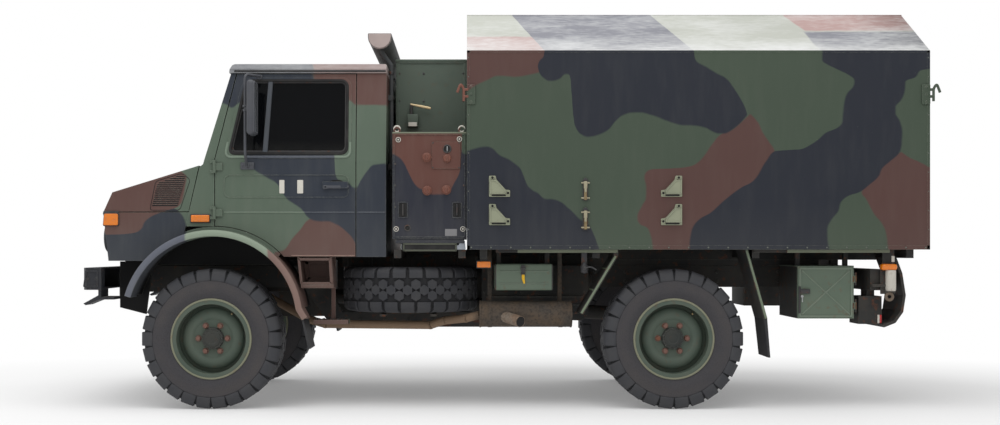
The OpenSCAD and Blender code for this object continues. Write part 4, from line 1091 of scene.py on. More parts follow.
def piece(
    name: str, form: Form, finish: Finish, body: str = "chassis", replaces: Sequence[str] = (),
    sharp: float = SHARP_ANGLE,
) -> bpy.types.Object:
    """Makes a finished piece that rides on a body.

    Args:
        name: Name of the piece.
        form: Its shape in the row frame.
        finish: Its finish.
        body: The body it moves with.
        replaces: Nodes that it stands for.
        sharp: Angle in degrees above which an edge stays sharp.

    Returns:
        The object.
    """
    mesh = form.mesh(name, sharp)
    mesh.materials.append(finish.material())
    obj = bpy.data.objects.new(name, mesh)
    bpy.context.scene.collection.objects.link(obj)
    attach(obj, body)
    if replaces:
        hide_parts(*replaces)
    LOG.info("%s rides on %s, %d faces", name, body, len(mesh.polygons))
    return obj


def coat(finish: Finish, *nodes: str) -> None:
    """Gives nodes of the frame a finish."""
    for name in nodes:
        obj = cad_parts[name]
        for slot in obj.material_slots:
            slot.material = finish.material()
        LOG.info("%s gets %s", name, finish.name)


def hex_bolt(radius: float, height: float) -> Form:
    """A hexagon bolt head on a washer, along local Z from 0."""
    form = Form().rod((0, 0, 0), (0, 0, height * 0.25), radius * 1.35, sides=16)
    form.rod((0, 0, height * 0.25), (0, 0, height), radius, radius * 0.94, sides=6)
    return form


def facing(direction: Sequence[float], place: Sequence[float]) -> Matrix:
    """A matrix that turns local Z to a direction and moves it to a place."""
    turn = Vector(direction).to_track_quat("Z", "Y").to_matrix().to_4x4()
    return Matrix.Translation(Vector(place)) @ turn


def round_loop(middle: float, thick: float) -> list[tuple[float, float]]:
    """Profile of a turned ring, from its middle radius and the radius of its bar."""
    angles = [math.tau * i / 10 for i in range(10)]
    return [(middle + thick * math.cos(a), thick * math.sin(a)) for a in angles]


def band(foot: float, top: float, start: float, width: float, slope: float) -> Outline:
    """Profile of a turned band, from its two radii, its start, its width and the width of its slopes."""
    return (foot, start), (top, start + slope), (top, start + width - slope), (foot, start + width)


def rect(x0: float, x1: float, z0: float, z1: float) -> Outline:
    """Corners of a rectangle, from its two lengths and its two heights."""
    return (x0, z0), (x1, z0), (x1, z1), (x0, z1)


def upright(outline: Outline, y: float) -> list[tuple[float, float, float]]:
    """An outline of lengths and heights, stood at one width."""
    return [(x, y, z) for x, z in outline]


def staged(outline: Outline, y: float) -> list[tuple[float, float, float]]:
    """An outline of stations and heights, stood at one width."""
    return [(station(mm), y, z) for mm, z in outline]


def crosswise(outline: Outline, x: float) -> list[tuple[float, float, float]]:
    """An outline of widths and heights, stood at one length."""
    return [(x, y, z) for y, z in outline]


def rivet_row(form: Form, start: Sequence[float], end: Sequence[float], count: int, radius: float) -> None:
    """Adds a row of flat rivet heads."""
    head = Form()
    bmesh.ops.create_uvsphere(head.bm, u_segments=8, v_segments=4, radius=radius)
    a, b = Vector(start), Vector(end)
    form.stamp(head, (Matrix.Translation(a.lerp(b, i / (count - 1))) for i in range(count)))
    head.bm.free()


# Stage


@dataclass
class Stage:
    """Camera, soft light, white backdrop and floor around the truck."""

    eye: tuple[float, float, float] = (-0.303, -10.2, 1.119)
    lens: float = 46.8
    shift: tuple[float, float] = (0.033, 0.0375)
    level: float = 0.76
    sensor: float = 36.0
    sight: float = 200.0
    lamp_power: float = 380.0
    lamp_size: float = 9.0
    lamp_at: tuple[float, float, float] = (-1.0, -3.0, 8.0)
    lamp_aim: tuple[float, float, float] = (1.0, 3.2, -8.0)
    floor_half: float = 60.0
    floor_glow: float = 0.19

    def build(self) -> None:
        """Sets the stage."""
        self._camera()
        self._world()
        self._lamp()
        self._floor()
        view = bpy.context.scene.view_settings
        view.view_transform = "Standard"

    def _camera(self) -> None:
        """Stands the camera at the left of the truck."""
        data = bpy.data.cameras.new("camera")
        data.lens = self.lens
        data.sensor_width = self.sensor
        data.shift_x, data.shift_y = self.shift
        data.clip_end = self.sight
        camera = bpy.data.objects.new("camera", data)
        camera.location = self.eye
        camera.rotation_euler = (math.radians(90.0), 0.0, 0.0)
        bpy.context.scene.collection.objects.link(camera)
        bpy.context.scene.camera = camera

    def _world(self) -> None:
        """A white surround that lights at a lower level than it shows."""
        world = bpy.data.worlds.new("surround")
        world.use_nodes = True
        tree = world.node_tree
        tree.nodes.clear()
        path = tree.nodes.new("ShaderNodeLightPath")
        seen = Value(tree, path.outputs["Is Camera Ray"])
        seen = seen.high(Value(tree, path.outputs["Is Transmission Ray"]))
        background = tree.nodes.new("ShaderNodeBackground")
        background.inputs["Color"].default_value = (1.0, 1.0, 1.0, 1.0)
        strength = seen * (1.0 - self.level) + self.level
        tree.links.new(strength.socket, background.inputs["Strength"])
        output = tree.nodes.new("ShaderNodeOutputWorld")
        tree.links.new(background.outputs[0], output.inputs[0])
        bpy.context.scene.world = world

    def _lamp(self) -> None:
        """Hangs one wide soft lamp over the truck."""
        data = bpy.data.lights.new("sky_lamp", "AREA")
        data.shape = "DISK"
        data.size = self.lamp_size
        data.energy = self.lamp_power
        lamp = bpy.data.objects.new("sky_lamp", data)
        lamp.location = self.lamp_at
        lamp.rotation_euler = Vector(self.lamp_aim).to_track_quat("-Z", "Y").to_euler()
        bpy.context.scene.collection.objects.link(lamp)

    def _floor(self) -> None:
        """Lays a pale floor that fades into the white surround."""
        form = Form()
        bmesh.ops.create_grid(form.bm, x_segments=2, y_segments=2, size=self.floor_half)
        mesh = form.mesh("floor")
        recipe = Recipe("floor_finish")
        x, y, _ = recipe.axes()
        grain = recipe.noise(30.0, 3.0)
        recipe.set(Base_Color=recipe.blend((0.93, 0.93, 0.93, 1.0), (0.88, 0.88, 0.88, 1.0), grain))
        recipe.set(Roughness=0.95, Specular_IOR_Level=0.0)
        away = (x * x * 0.35 + (y + 0.4) * (y + 0.4)).root()
        tree = recipe.tree
        light = tree.nodes.new("ShaderNodeEmission")
        light.inputs["Color"].default_value = (1.0, 1.0, 1.0, 1.0)
        mixed = tree.nodes.new("ShaderNodeMixShader")
        recipe.feed(mixed.inputs[0], away.step(3.2, 1.2).high(self.floor_glow))
        tree.links.new(recipe.shader.outputs[0], mixed.inputs[1])
        tree.links.new(light.outputs[0], mixed.inputs[2])
        target = next(n for n in tree.nodes if n.bl_idname == "ShaderNodeOutputMaterial")
        tree.links.new(mixed.outputs[0], target.inputs[0])
        mesh.materials.append(recipe.material)
        floor = bpy.data.objects.new("floor", mesh)
        bpy.context.scene.collection.objects.link(floor)


# Wheels


@dataclass
class Wheel:
    """One wheel: a tyre with lugs, and the dish, nuts, hub cap and flanges of its rim."""

    name: str
    body: str
    place: Matrix
    rubber: Finish
    tread: Finish
    tyre_node: str
    hub: bool = True
    lugs: int = 26
    blocks: int = 26
    bolt_circle: float = 0.1025
    nuts: int = 6

    def build(self) -> None:
        """Builds the tyre and dresses the rim."""
        self._carcass()
        self._tread()
        self._flange()
        if self.hub:
            self._dish()
            self._nuts()
            self._cap()

    def _add(
        self, name: str, form: Form, finish: Finish, replaces: Sequence[str] = (), sharp: float = SHARP_ANGLE,
    ) -> None:
        """Hangs a piece on the body of this wheel."""
        piece(f"{self.name}_{name}", form, finish, self.body, replaces, sharp)

    def _turned(self, count: int, start: float, more: Matrix = Matrix()) -> list[Matrix]:
        """Places spaced evenly round the wheel."""
        step = math.tau / count
        return [self.place @ Matrix.Rotation((i + start) * step, 4, "Z") @ more for i in range(count)]

    def _carcass(self) -> None:
        """The turned carcass with its smooth wall."""
        half = (
            (0.259, 0.14), (0.284, 0.1405), (0.298, 0.1465), (0.308, 0.15), (0.311, 0.1525), (0.34, 0.1595),
            (0.37, 0.162), (0.396, 0.1614), (0.4, 0.1622), (0.406, 0.1618), (0.409, 0.1575), (0.43, 0.153),
            (0.456, 0.144), (0.472, 0.127), (0.478, 0.09), (0.479, 0.0),
        )
        profile = half + tuple((r, -h) for r, h in half[-2::-1])
        form = Form().lathe(profile, self.place, 96, closed=True)
        self._add("carcass", form, self.rubber, (self.tyre_node,), sharp=40.0)

    def _tread(self) -> None:
        """Shoulder lugs on both sides and three rows of six-sided blocks."""
        section = (
            (0.455, 0.086), (0.4912, 0.084), (0.4912, 0.117), (0.485, 0.1375), (0.466, 0.153), (0.43, 0.1612),
            (0.4085, 0.1622), (0.4065, 0.156), (0.425, 0.148), (0.445, 0.136),
        )
        lug = Form().plate([(r, -0.0475, h) for r, h in section], (0.0, 0.095, 0.0), bevel=0.005)
        flip = Matrix.Diagonal((1.0, 1.0, -1.0, 1.0))
        form = Form().stamp(lug, self._turned(self.lugs, 0.0))
        form.stamp(lug, self._turned(self.lugs, 0.5, flip))
        for height, start in ((-0.039, 0.0), (0.0, 0.5), (0.039, 0.0)):
            block = Form().rod((0.463, 0.0, height), (0.4915, 0.0, height), 0.043, 0.0375, sides=6)
            form.stamp(block, self._turned(self.blocks, start))
        self._add("tread", form, self.tread, sharp=40.0)

    def _flange(self) -> None:
        """Rolled edges of the two rim flanges."""
        loop = (
            (0.2715, 0.144), (0.272, 0.1478), (0.279, 0.1496), (0.2848, 0.147), (0.2858, 0.1415),
            (0.283, 0.1392),
        )
        form = Form().lathe(loop, self.place, 96, closed=True)
        form.lathe([(r, -h) for r, h in loop], self.place, 96, closed=True)
        self._add("flanges", form, FLANGE_PAINT)

    def _dish(self) -> None:
        """Rounded dish over the disc of the rim, with a groove round it in painted shade."""
        profile = (
            (0.219, 0.0525), (0.216, 0.0605), (0.208, 0.069), (0.195, 0.077), (0.18, 0.0825), (0.165, 0.0847),
            (0.151, 0.0835), (0.14, 0.0785), (0.133, 0.0728), (0.128, 0.0712), (0.078, 0.0712),
        )
        self._add("dish", Form().lathe(profile, self.place, 72), RIM_PAINT, sharp=60.0)
        groove = Form().lathe(((0.2446, 0.0473), (0.233, 0.0502), (0.218, 0.0535)), self.place, 72)
        self._add("groove", groove, GROOVE_SHADE_PAINT)

    def _nuts(self) -> None:
        """Wheel nuts and the valve."""
        nut = Form().rod((0, 0, 0.07), (0, 0, 0.074), 0.0225)
        nut.rod((0, 0, 0.074), (0, 0, 0.089), 0.02, 0.0188, sides=6, bevel=0.0015)
        nut.rod((0, 0, 0.089), (0, 0, 0.096), 0.0158, 0.0145, sides=12)
        out = Matrix.Translation((self.bolt_circle, 0.0, 0.0))
        self._add("nuts", Form().stamp(nut, self._turned(self.nuts, 0.0, out)), NUT_PAINT)
        valve = Form().rod((0.236, 0.0, 0.046), (0.224, 0.0, 0.088), 0.0045, sides=10)
        valve.rod((0.224, 0.0, 0.088), (0.221, 0.0, 0.101), 0.0062, sides=10, bevel=0.001)
        valve.moved(self.place @ Matrix.Rotation(0.9, 4, "Z"))
        self._add("valve", valve, BRASS)

    def _cap(self) -> None:
        """Ribbed hub cap with a ring of screws."""
        profile = (
            (0.079, 0.071), (0.0785, 0.074), (0.074, 0.076), (0.0735, 0.1005), (0.071, 0.1025),
            (0.0605, 0.1025), (0.0595, 0.1095), (0.056, 0.1115), (0.038, 0.1115), (0.034, 0.109), (0.0, 0.11),
        )
        cap = Form().lathe(profile, self.place, 40)
        rib = Form().box((0.059, -0.005, 0.074), (0.0775, 0.005, 0.1045), 0.0015, 1)
        cap.stamp(rib, self._turned(12, 0.5))
        screw = Form().rod((0.066, 0.0, 0.102), (0.066, 0.0, 0.1065), 0.0046, sides=6)
        cap.stamp(screw, self._turned(12, 0.0))
        self._add("hub", cap, HUB_PAINT)


def wheel_place(along: float, side: float) -> Matrix:
    """Matrix of a road wheel: local Z points out of the truck."""
    turn = Matrix.Rotation(math.radians(90.0 * -side), 4, "X")
    return Matrix.Translation((along, HALF_TRACK * side, AXLE_HEIGHT)) @ turn


# Cab


@dataclass
class Door:
    """Dress of one cab door and its mirror."""

    side: float
    body: str
    label: str
    skin: float = 1.05
    belt: float = 1.745
    slope: float = 0.065 / 0.627

    def build(self) -> None:
        """Dresses the door."""
        self._window()
        self._panel()
        self._handle()
        self._mirror()

    def _at(self, mm: float, out: float, z: float) -> Vector:
        """A point at a station, a distance outside the skin and a height."""
        return Vector((station(mm), self.side * (self.skin + out), z))

    def _spots(self, outline: Outline, out: float) -> list[Vector]:
        """An outline of stations and heights, a distance outside the skin."""
        return [self._at(mm, out, z) for mm, z in outline]

    def _add(self, name: str, form: Form, finish: Finish, replaces: Sequence[str] = ()) -> None:
        """Hangs a piece on the body of this door."""
        piece(f"{name}_{self.label}", form, finish, self.body, replaces)

    def _lean(self) -> Matrix:
        """Leans what is modelled upright in with the upper door."""
        lean = Matrix.Identity(4)
        lean[1][2] = -self.side * self.slope
        lean[1][3] = self.side * self.slope * self.belt
        return lean

    def _window(self) -> None:
        """Seal, divider bar, glass channel, painted rim and sill tube of the window; the sill tube is pale as
        painted highlight.
        """
        outline = ((106, 1.789), (963, 1.789), (963, 2.332), (225, 2.332))
        seal = Form().plate(self._spots(outline, 0.005), (0, -self.side * 0.02, 0), 0.055, 0.021, 0.004)
        self._add("window_seal", seal.moved(self._lean()), SHADE_AND_SEAL_BLACK)
        bar = ((390, 2.318), (422, 2.318), (390, 1.803), (356, 1.803))
        divider = Form().plate(self._spots(bar, 0.001), (0, -self.side * 0.026, 0), bevel=0.004)
        self._add("window_bar", divider.moved(self._lean()), DOOR_SEAL)
        inner = ((128, 1.808), (946, 1.808), (946, 2.314), (236, 2.314))
        channel = Form().plate(self._spots(inner, -0.013), (0, -self.side * 0.003, 0), 0.042, 0.012, 0.001)
        channel.moved(self._lean())
        self._add("window_channel", channel, DARK_STEEL)
        outer = ((84, 1.762), (984, 1.762), (984, 2.346), (212, 2.346))
        surround = Form().plate(self._spots(outer, -0.002), (0, self.side * 0.006, 0), 0.075, 0.024, 0.005)
        self._add("window_frame", surround.moved(self._lean()), CAB_PAINT)
        # The sill tube is pale as painted highlight along the lower lip of the frame.
        line = ((112, -0.001, 1.88), (92, -0.001, 1.774), (974, -0.001, 1.774), (974, -0.001, 1.88))
        sill = Form().tube([self._at(*p) for p in line], 0.0095, 0.065)
        self._add("window_sill", sill.moved(self._lean()), CAB_HIGHLIGHT_PAINT)

    def _panel(self) -> None:
        """Rim of the pressed rectangle, waist crease and lower fold in painted highlight, and two blank
        plates.
        """
        outline = rect(83, 967, 1.485, 1.651)
        form = Form().plate(self._spots(outline, -0.001), (0, self.side * 0.005, 0), 0.045, 0.01, 0.0022)
        self._add("door_pressing", form, CAB_PAINT)
        # Crease and fold in paler paint: painted highlight.
        crease = Form().box(self._at(86, -0.002, 1.381), self._at(1006, 0.0045, 1.389), 0.003)
        crease.box(self._at(560, -0.002, 1.076), self._at(1008, 0.0035, 1.084), 0.002, 1)
        self._add("door_crease", crease, CAB_HIGHLIGHT_PAINT)
        plates = Form()
        for low, high in ((476, 512), (602, 644)):
            corners = rect(low, high, 1.517, 1.612)
            plates.plate(self._spots(corners, -0.001), (0, self.side * 0.0025, 0), 0.005, 0.0, 0.0006)
        self._add("door_plates", plates, PALE_PLATE)

    def _handle(self) -> None:
        """Slim pull handle with its finger cup in painted shade, and lock."""
        corners = rect(822, 934, 1.566, 1.612)
        # The finger cup is a near-black plate: painted shade in the recess.
        cup = Form().plate(
            self._spots(corners, -0.001), (0, self.side * 0.002, 0), 0.036, 0.0, 0.0006, only=(2, 3),
        )
        self._add("door_cup", cup, SHADE_AND_SEAL_BLACK)
        form = Form().box(self._at(784, 0.0, 1.546), self._at(816, 0.024, 1.577), 0.008, 3)
        form.box(self._at(790, 0.008, 1.55), self._at(912, 0.024, 1.574), 0.007, 3)
        form.box(self._at(896, 0.0, 1.552), self._at(968, 0.019, 1.574), 0.007, 3)
        self._add("door_handle", form, MIRROR_GREY)
        lock = Form().rod(
            self._at(947, 0.016, 1.5635), self._at(947, 0.0215, 1.5635), 0.0095, sides=18, bevel=0.002,
        )
        self._add("door_lock", lock, STEEL)

    def _mirror(self) -> None:
        """Mirror: bent tube, clamps, shell and glass."""
        arm = Form()
        path = (
            (330, -0.0615, 2.344), (330, -0.01, 2.344), (262, 0.16, 2.334), (262, 0.16, 1.78),
            (254, 0.04, 1.712), (254, 0.008, 1.712),
        )
        arm.tube([self._at(*p) for p in path], 0.0095, 0.035, 4)
        arm.box(self._at(204, 0.0, 1.684), self._at(300, 0.016, 1.735), 0.006)
        arm.rod(self._at(254, 0.01, 1.712), self._at(254, 0.038, 1.712), 0.02, 0.015, sides=16, bevel=0.002)
        for x in (216, 288):
            arm.stamp(hex_bolt(0.006, 0.007), (facing((0, self.side, 0), self._at(x, 0.015, 1.71)),))
        arm.rod(self._at(330, -0.06, 2.344), self._at(330, -0.046, 2.344), 0.021, 0.017, sides=16)
        for z in (2.085, 2.115):
            arm.rod(
                self._at(262, 0.16, z - 0.007), self._at(262, 0.16, z + 0.007), 0.0165, sides=16, bevel=0.002,
            )
        arm.box(self._at(262, 0.15, 2.088), self._at(292, 0.17, 2.112), 0.004, 1)
        self._add("mirror_arm", arm, MIRROR_GREY, (f"mirror_{self.label}",))
        shell = Form().box(self._at(281, 0.07, 1.912), self._at(337, 0.24, 2.291), 0.026, 4)
        lip = ((338.5, 0.078, 1.92), (338.5, 0.232, 1.92), (338.5, 0.232, 2.283), (338.5, 0.078, 2.283))
        shell.plate([self._at(*p) for p in lip], (-0.012, 0.0, 0.0), 0.028, 0.014, 0.003)
        self._add("mirror_shell", shell, MIRROR_GREY)
        pane = ((337.5, 0.09, 1.932), (337.5, 0.22, 1.932), (337.5, 0.22, 2.271), (337.5, 0.09, 2.271))
        glass = Form().plate([self._at(*p) for p in pane], (-0.002, 0.0, 0.0), 0.02, 0.0, 0.0008)
        self._add("mirror_glass", glass, MIRROR)


@dataclass
class CabShell:
    """Dress of the fixed cab: screen, nose, lamps, arches, steps and back."""

    screen_slope: float = 196.0 / 679.0
    nose_slope: float = 65.0 / 700.0
    bonnet_slope: float = 194.0 / 654.0

    def build(self) -> None:
        """Dresses the cab and gives its nodes their finishes."""
        coat(
            CAB_PAINT, "cab_front", "cab_back", "front_panel", "bonnet", "door_left", "door_right",
            "cab_steps",
        )
        coat(WING_PAINT, "front_wings")
        coat(CAB_ROOF_PAINT, "cab_roof")
        coat(CHASSIS_PAINT, "cab_floor")
        coat(BUMPER_PAINT, "front_bumper")
        coat(GLASS, "cab_glass", "door_glass_left", "door_glass_right")
        coat(PLASTIC, "dashboard", "steering_wheel")
        self._screen()
        self._bonnet()
        self._seams()
        self._arches()
        self._headlamps()
        self._turn_lamps()
        self._grille()
        self._bumper()
        self._steps()
        self._back()
        self._dash()

    def _screen(self) -> None:
        """Windscreen seal and two parked wipers."""
        rake = Matrix.Identity(4)
        rake[0][2] = self.screen_slope
        rake[0][3] = station(-62) - self.screen_slope * 1.722
        outline = ((-0.978, 1.757), (0.978, 1.757), (0.915, 2.343), (-0.915, 2.343))
        seal = Form().plate(crosswise(outline, -0.005), (0.022, 0, 0), 0.075, 0.032, 0.004)
        seal.moved(rake)
        piece("windscreen_seal", seal, SEAL)
        wipers = Form()
        for y in (-0.66, 0.12):
            wipers.rod((0.01, y, 1.738), (-0.026, y, 1.738), 0.016, 0.012, sides=16, bevel=0.002)
            wipers.tube(
                ((-0.022, y, 1.738), (-0.024, y + 0.1, 1.775), (-0.016, y + 0.33, 1.812)), 0.0055, 0.05,
            )
            wipers.box((-0.022, y + 0.06, 1.806), (-0.012, y + 0.58, 1.819), 0.002, 1)
            wipers.box((-0.0125, y + 0.06, 1.809), (0.006, y + 0.58, 1.814), 0.001, 1)
        wipers.moved(rake)
        piece("wipers", wipers, PLASTIC)

    def _cheek(self) -> Matrix:
        """Turns what is modelled on the plane of the left cab side to the tapering left bonnet side."""
        cheek = Matrix.Identity(4)
        cheek[1][0] = -self.nose_slope
        cheek[1][3] = -1.05 + self.nose_slope * station(-60)
        return cheek

    def _bonnet(self) -> None:
        """Louvre panels in the bonnet sides with their slots in painted shade, top pressings and the pull at
        the nose.
        """
        outline = ((-447, 1.398), (-404, 1.606), (-211, 1.662), (-150, 1.616), (-226, 1.398))
        rim = Form().plate(staged(outline, 0.001), (0, -0.0025, 0), 0.022, 0.0042, 0.0008)
        slats = Form()
        lowest, pitch, count = 1.434, 0.01443, 15
        for i in range(count):
            z = lowest + i * pitch
            low = -426 + 251.6 * (z - lowest) if z < 1.592 else -387 + 2870 * (z - 1.589)
            high = min(-244 + 297 * (z - lowest), -193)
            rim.box((station(low), -0.0018, z - 0.0042), (station(high), 0.001, z + 0.0042))
            slats.box(
                (station(low - 4), -0.005, z + 0.0044), (station(high + 4), 0.001, z + 0.0102), 0.0014, 1,
            )
        # The slots behind the slats are near-black boxes: painted shade.
        piece("louvre_slots", rim.moved(self._cheek()).both(), SHADE_AND_SEAL_BLACK, "bonnet")
        piece("bonnet_louvres", slats.moved(self._cheek()).both(), CAB_PAINT, "bonnet")
        top = Form()
        for y in (-0.52, 0.52):
            corners = ((-650, y - 0.012), (-650, y + 0.012), (-190, y + 0.012), (-190, y - 0.012))
            spots = [(station(x), v, 1.5275 + (x + 716) * self.bonnet_slope / 1000.0) for x, v in corners]
            top.plate(spots, (0, 0, 0.008), 0.008, 0.0, 0.003)
        top.tube([(station(x), y, 1.452) for x, y in rect(-746, -782, -0.14, 0.14)], 0.009, 0.02)
        piece("bonnet_pressings", top, CAB_PAINT, "bonnet")

    def _seams(self) -> None:
        """Seam between wing and scuttle in painted shade, and the waist crease behind the doors in painted
        highlight.
        """
        line = ((-160.4, 1.383), (-163.4, 1.383), (-198.4, 1.236), (-195.4, 1.236))
        seam = Form().plate(staged(line, 0.001), (0, -0.002, 0))
        # The seam is a near-black strip: painted shade in the gap.
        piece("wing_seams", seam.moved(self._cheek()).both(), SHADE_AND_SEAL_BLACK)
        # The crease is in paler paint: painted highlight.
        crease = Form().box((station(1024), -1.0545, 1.381), (station(1226), -1.048, 1.389), 0.003)
        piece("waist_creases", crease.both(), CAB_HIGHLIGHT_PAINT)

    def _arches(self) -> None:
        """Rolled edges of the front wheel arches, in paler camouflage as painted highlight."""
        form = Form()
        radius, y = 0.6105, -1.15
        centre = Vector((station(20), y, 0.626))
        angles = [math.radians(8 + (164 - 8) * i / 48) for i in range(49)]
        path = [centre + Vector((radius * math.cos(a), 0.0, radius * math.sin(a))) for a in angles]
        path.insert(0, Vector((station(666), y, 0.641)))
        form.tube(path, 0.0225, 0.0, 4)
        flatten = Matrix.Diagonal((1, 0.5, 1, 1))
        squash = Matrix.Translation((0, y, 0)) @ flatten @ Matrix.Translation((0, -y, 0))
        form.moved(squash).both()
        piece("arch_edges", form, ARCH_HIGHLIGHT_PAINT)

    def _headlamps(self) -> None:
        """Headlamp bezels, bowls and lenses."""
        place = facing(FORWARD, (station(-797), -0.755, 1.21))
        bezel = Form().lathe(
            (
                (0.098, -0.004), (0.108, 0.0), (0.1085, 0.01), (0.1, 0.017), (0.0895, 0.015), (0.088, 0.002),
                (0.09, -0.01),
            ),
            place, 48,
        )
        bezel.both()
        piece("headlamp_bezels", bezel, CAB_PAINT)
        bowl = Form().lathe(
            ((0.089, 0.0), (0.08, -0.028), (0.056, -0.055), (0.024, -0.068), (0.0, -0.07)), place, 40,
        )
        bowl.lathe(((0.016, -0.06), (0.015, -0.03), (0.0, -0.026)), place, 20)
        bowl.both()
        piece("headlamp_bowls", bowl, STEEL)
        lens = Form().lathe(
            ((0.0885, 0.004), (0.08, 0.01), (0.056, 0.018), (0.028, 0.022), (0.0, 0.023)), place, 40,
        )
        lens.lathe(((0.0885, 0.002), (0.056, 0.014), (0.0, 0.018)), place, 40)
        lens.both()
        piece("headlamp_lenses", lens, HEADLAMP_GLASS)

    def _turn_lamps(self) -> None:
        """Turn lamps on the nose corners and scuttle, and the side markers."""
        lens = Form()
        base = Form()
        corner = ((-780, 1.294), (-672, 1.294), (-672, 1.376), (-772, 1.376))
        lens.plate(staged(corner, -0.003), (0, -0.013, 0), 0.01, 0.0, 0.003)
        wide = ((-785, 1.288), (-666, 1.288), (-666, 1.382), (-777, 1.382))
        base.plate(staged(wide, 0.001), (0, -0.0065, 0), 0.012, 0.0, 0.002)
        lip = ((-783, 1.37), (-668, 1.37), (-668, 1.394), (-780, 1.394))
        base.plate(staged(lip, -0.0052), (0, -0.004, 0), 0.004, 0.0, 0.001)
        lens.moved(self._cheek())
        base.moved(self._cheek())
        lens.box((station(-143), -1.0715, 1.315), (station(-14), -1.056, 1.365), 0.006, 3)
        base.box((station(-150), -1.06, 1.309), (station(-7), -1.044, 1.371), 0.005)
        lens.box((station(1868), -1.056, 0.996), (station(1963), -1.047, 1.038), 0.005, 3)
        base.box((station(1862), -1.05, 0.99), (station(1969), -1.041, 1.044), 0.004)
        piece("turn_lamp_lenses", lens.both(), AMBER, replaces=("indicators",))
        piece("turn_lamp_bases", base.both(), PLASTIC)

    def _grille(self) -> None:
        """Radiator core behind the grille bars."""
        form = Form().box((station(-706), -0.556, 1.088), (station(-692), 0.556, 1.347), 0.003, 1)
        fin = Form().box((station(-710), -0.0016, 1.092), (station(-704), 0.0016, 1.343))
        form.stamp(fin, (Matrix.Translation((0, -0.54 + i * 0.018, 0)) for i in range(61)))
        piece("radiator_core", form, CHASSIS_PAINT)
        bolts = Form()
        head = hex_bolt(0.008, 0.007)
        spots = [(y, z) for y in (-0.6, 0.6) for z in (1.1, 1.335)]
        spots += [(y, 1.368) for y in (0.0, -0.3, 0.3)]
        lean = 39.0 / 343.0
        bolts.stamp(
            head, (facing(FORWARD, (station(-783 + (1385 - z * 1000) * lean), y, z)) for y, z in spots),
        )
        piece("front_panel_bolts", bolts, DARK_STEEL)

    def _bumper(self) -> None:
        """Bumper bolts, clevis pin, treads of the corner steps and end plates."""
        head = hex_bolt(0.013, 0.012)
        spots = [(y, z) for y in (-0.38, -0.34, 0.34, 0.38) for z in (0.872, 0.96)]
        form = Form().stamp(head, (facing(FORWARD, (station(-913), y, z)) for y, z in spots))
        form.rod((station(-878), -0.088, 0.8), (station(-878), 0.088, 0.8), 0.0165, bevel=0.003)
        form.rod((station(-878), -0.096, 0.8), (station(-878), -0.084, 0.8), 0.026, bevel=0.002)
        piece("bumper_bolts", form, DARK_STEEL)
        tread = Form()
        for i in range(7):
            y = -1.03 + i * 0.026
            tread.box((station(-786), y, 0.7845), (station(-694), y + 0.011, 0.7905), 0.002, 1)
        piece("bumper_treads", tread.both(), DARK_STEEL)
        corners = ((-905, 0.856), (-800, 0.856), (-800, 0.976), (-888, 0.976))
        box = Form().plate(staged(corners, -1.0495), (0, -0.006, 0), 0.012, 0.012, 0.002)
        for x in (-872, -812):
            box.stamp(hex_bolt(0.009, 0.008), (facing(LEFTWARD, (station(x), -1.05, 0.916)),))
        piece("bumper_ends", box.both(), BUMPER_PAINT)

    def _steps(self) -> None:
        """Treads of the cab steps and the framed plates at their sides."""
        form = Form()
        for i in range(6):
            upper, lower = 640 + i * 36, 718 + i * 38
            form.box((station(upper), -1.036, 0.8755), (station(upper + 14), -0.816, 0.881), 0.002, 1)
            form.box((station(lower), -0.954, 0.6215), (station(lower + 15), -0.786, 0.6265), 0.002, 1)
        piece("step_treads", form.both(), DARK_STEEL)
        corners = ((622, 0.876), (850, 0.876), (838, 1.062), (602, 1.062))
        bar = Form().plate(staged(corners, -1.0375), (0, -0.006, 0), 0.01, 0.017, 0.002)
        bar.plate(staged(corners, -0.8135), (0, -0.006, 0), 0.02, 0.046, 0.003)
        bar.box((station(640), -1.0445, 0.854), (station(848), -1.0385, 0.872), 0.002, 1)
        piece("step_edges", bar.both(), CAB_PAINT)

    def _back(self) -> None:
        """Seal of the rear cab window, and the roof gutters in dark rubber finish as a painted shadow line
        under the roof edge.
        """
        outline = rect(-0.492, 0.492, 1.818, 2.252)
        form = Form().plate(crosswise(outline, station(1231)), (-0.02, 0, 0), 0.06, 0.026, 0.004)
        piece("rear_window_seal", form, SEAL)
        # The gutters are dark as painted shadow under the roof edge.
        gutter = Form().tube([(station(150), -1.001, 2.386), (station(1222), -1.001, 2.386)], 0.0065)
        piece("roof_gutters", gutter.both(), SEAL)

    def _dash(self) -> None:
        """Round blank gauges and switches on the dashboard."""
        form = Form()
        for y in (-0.62, -0.5, -0.38):
            place = facing((0.98, 0, 0.2), (station(157), y, 1.58))
            form.lathe(((0.0, 0.004), (0.042, 0.004), (0.044, 0.012), (0.05, 0.012), (0.052, 0.0)), place, 28)
        for i in range(8):
            y = -0.2 + i * 0.05
            form.box((station(157), y, 1.555), (station(168), y + 0.026, 1.6), 0.003, 1)
        piece("dash_gauges", form, DARK_STEEL)


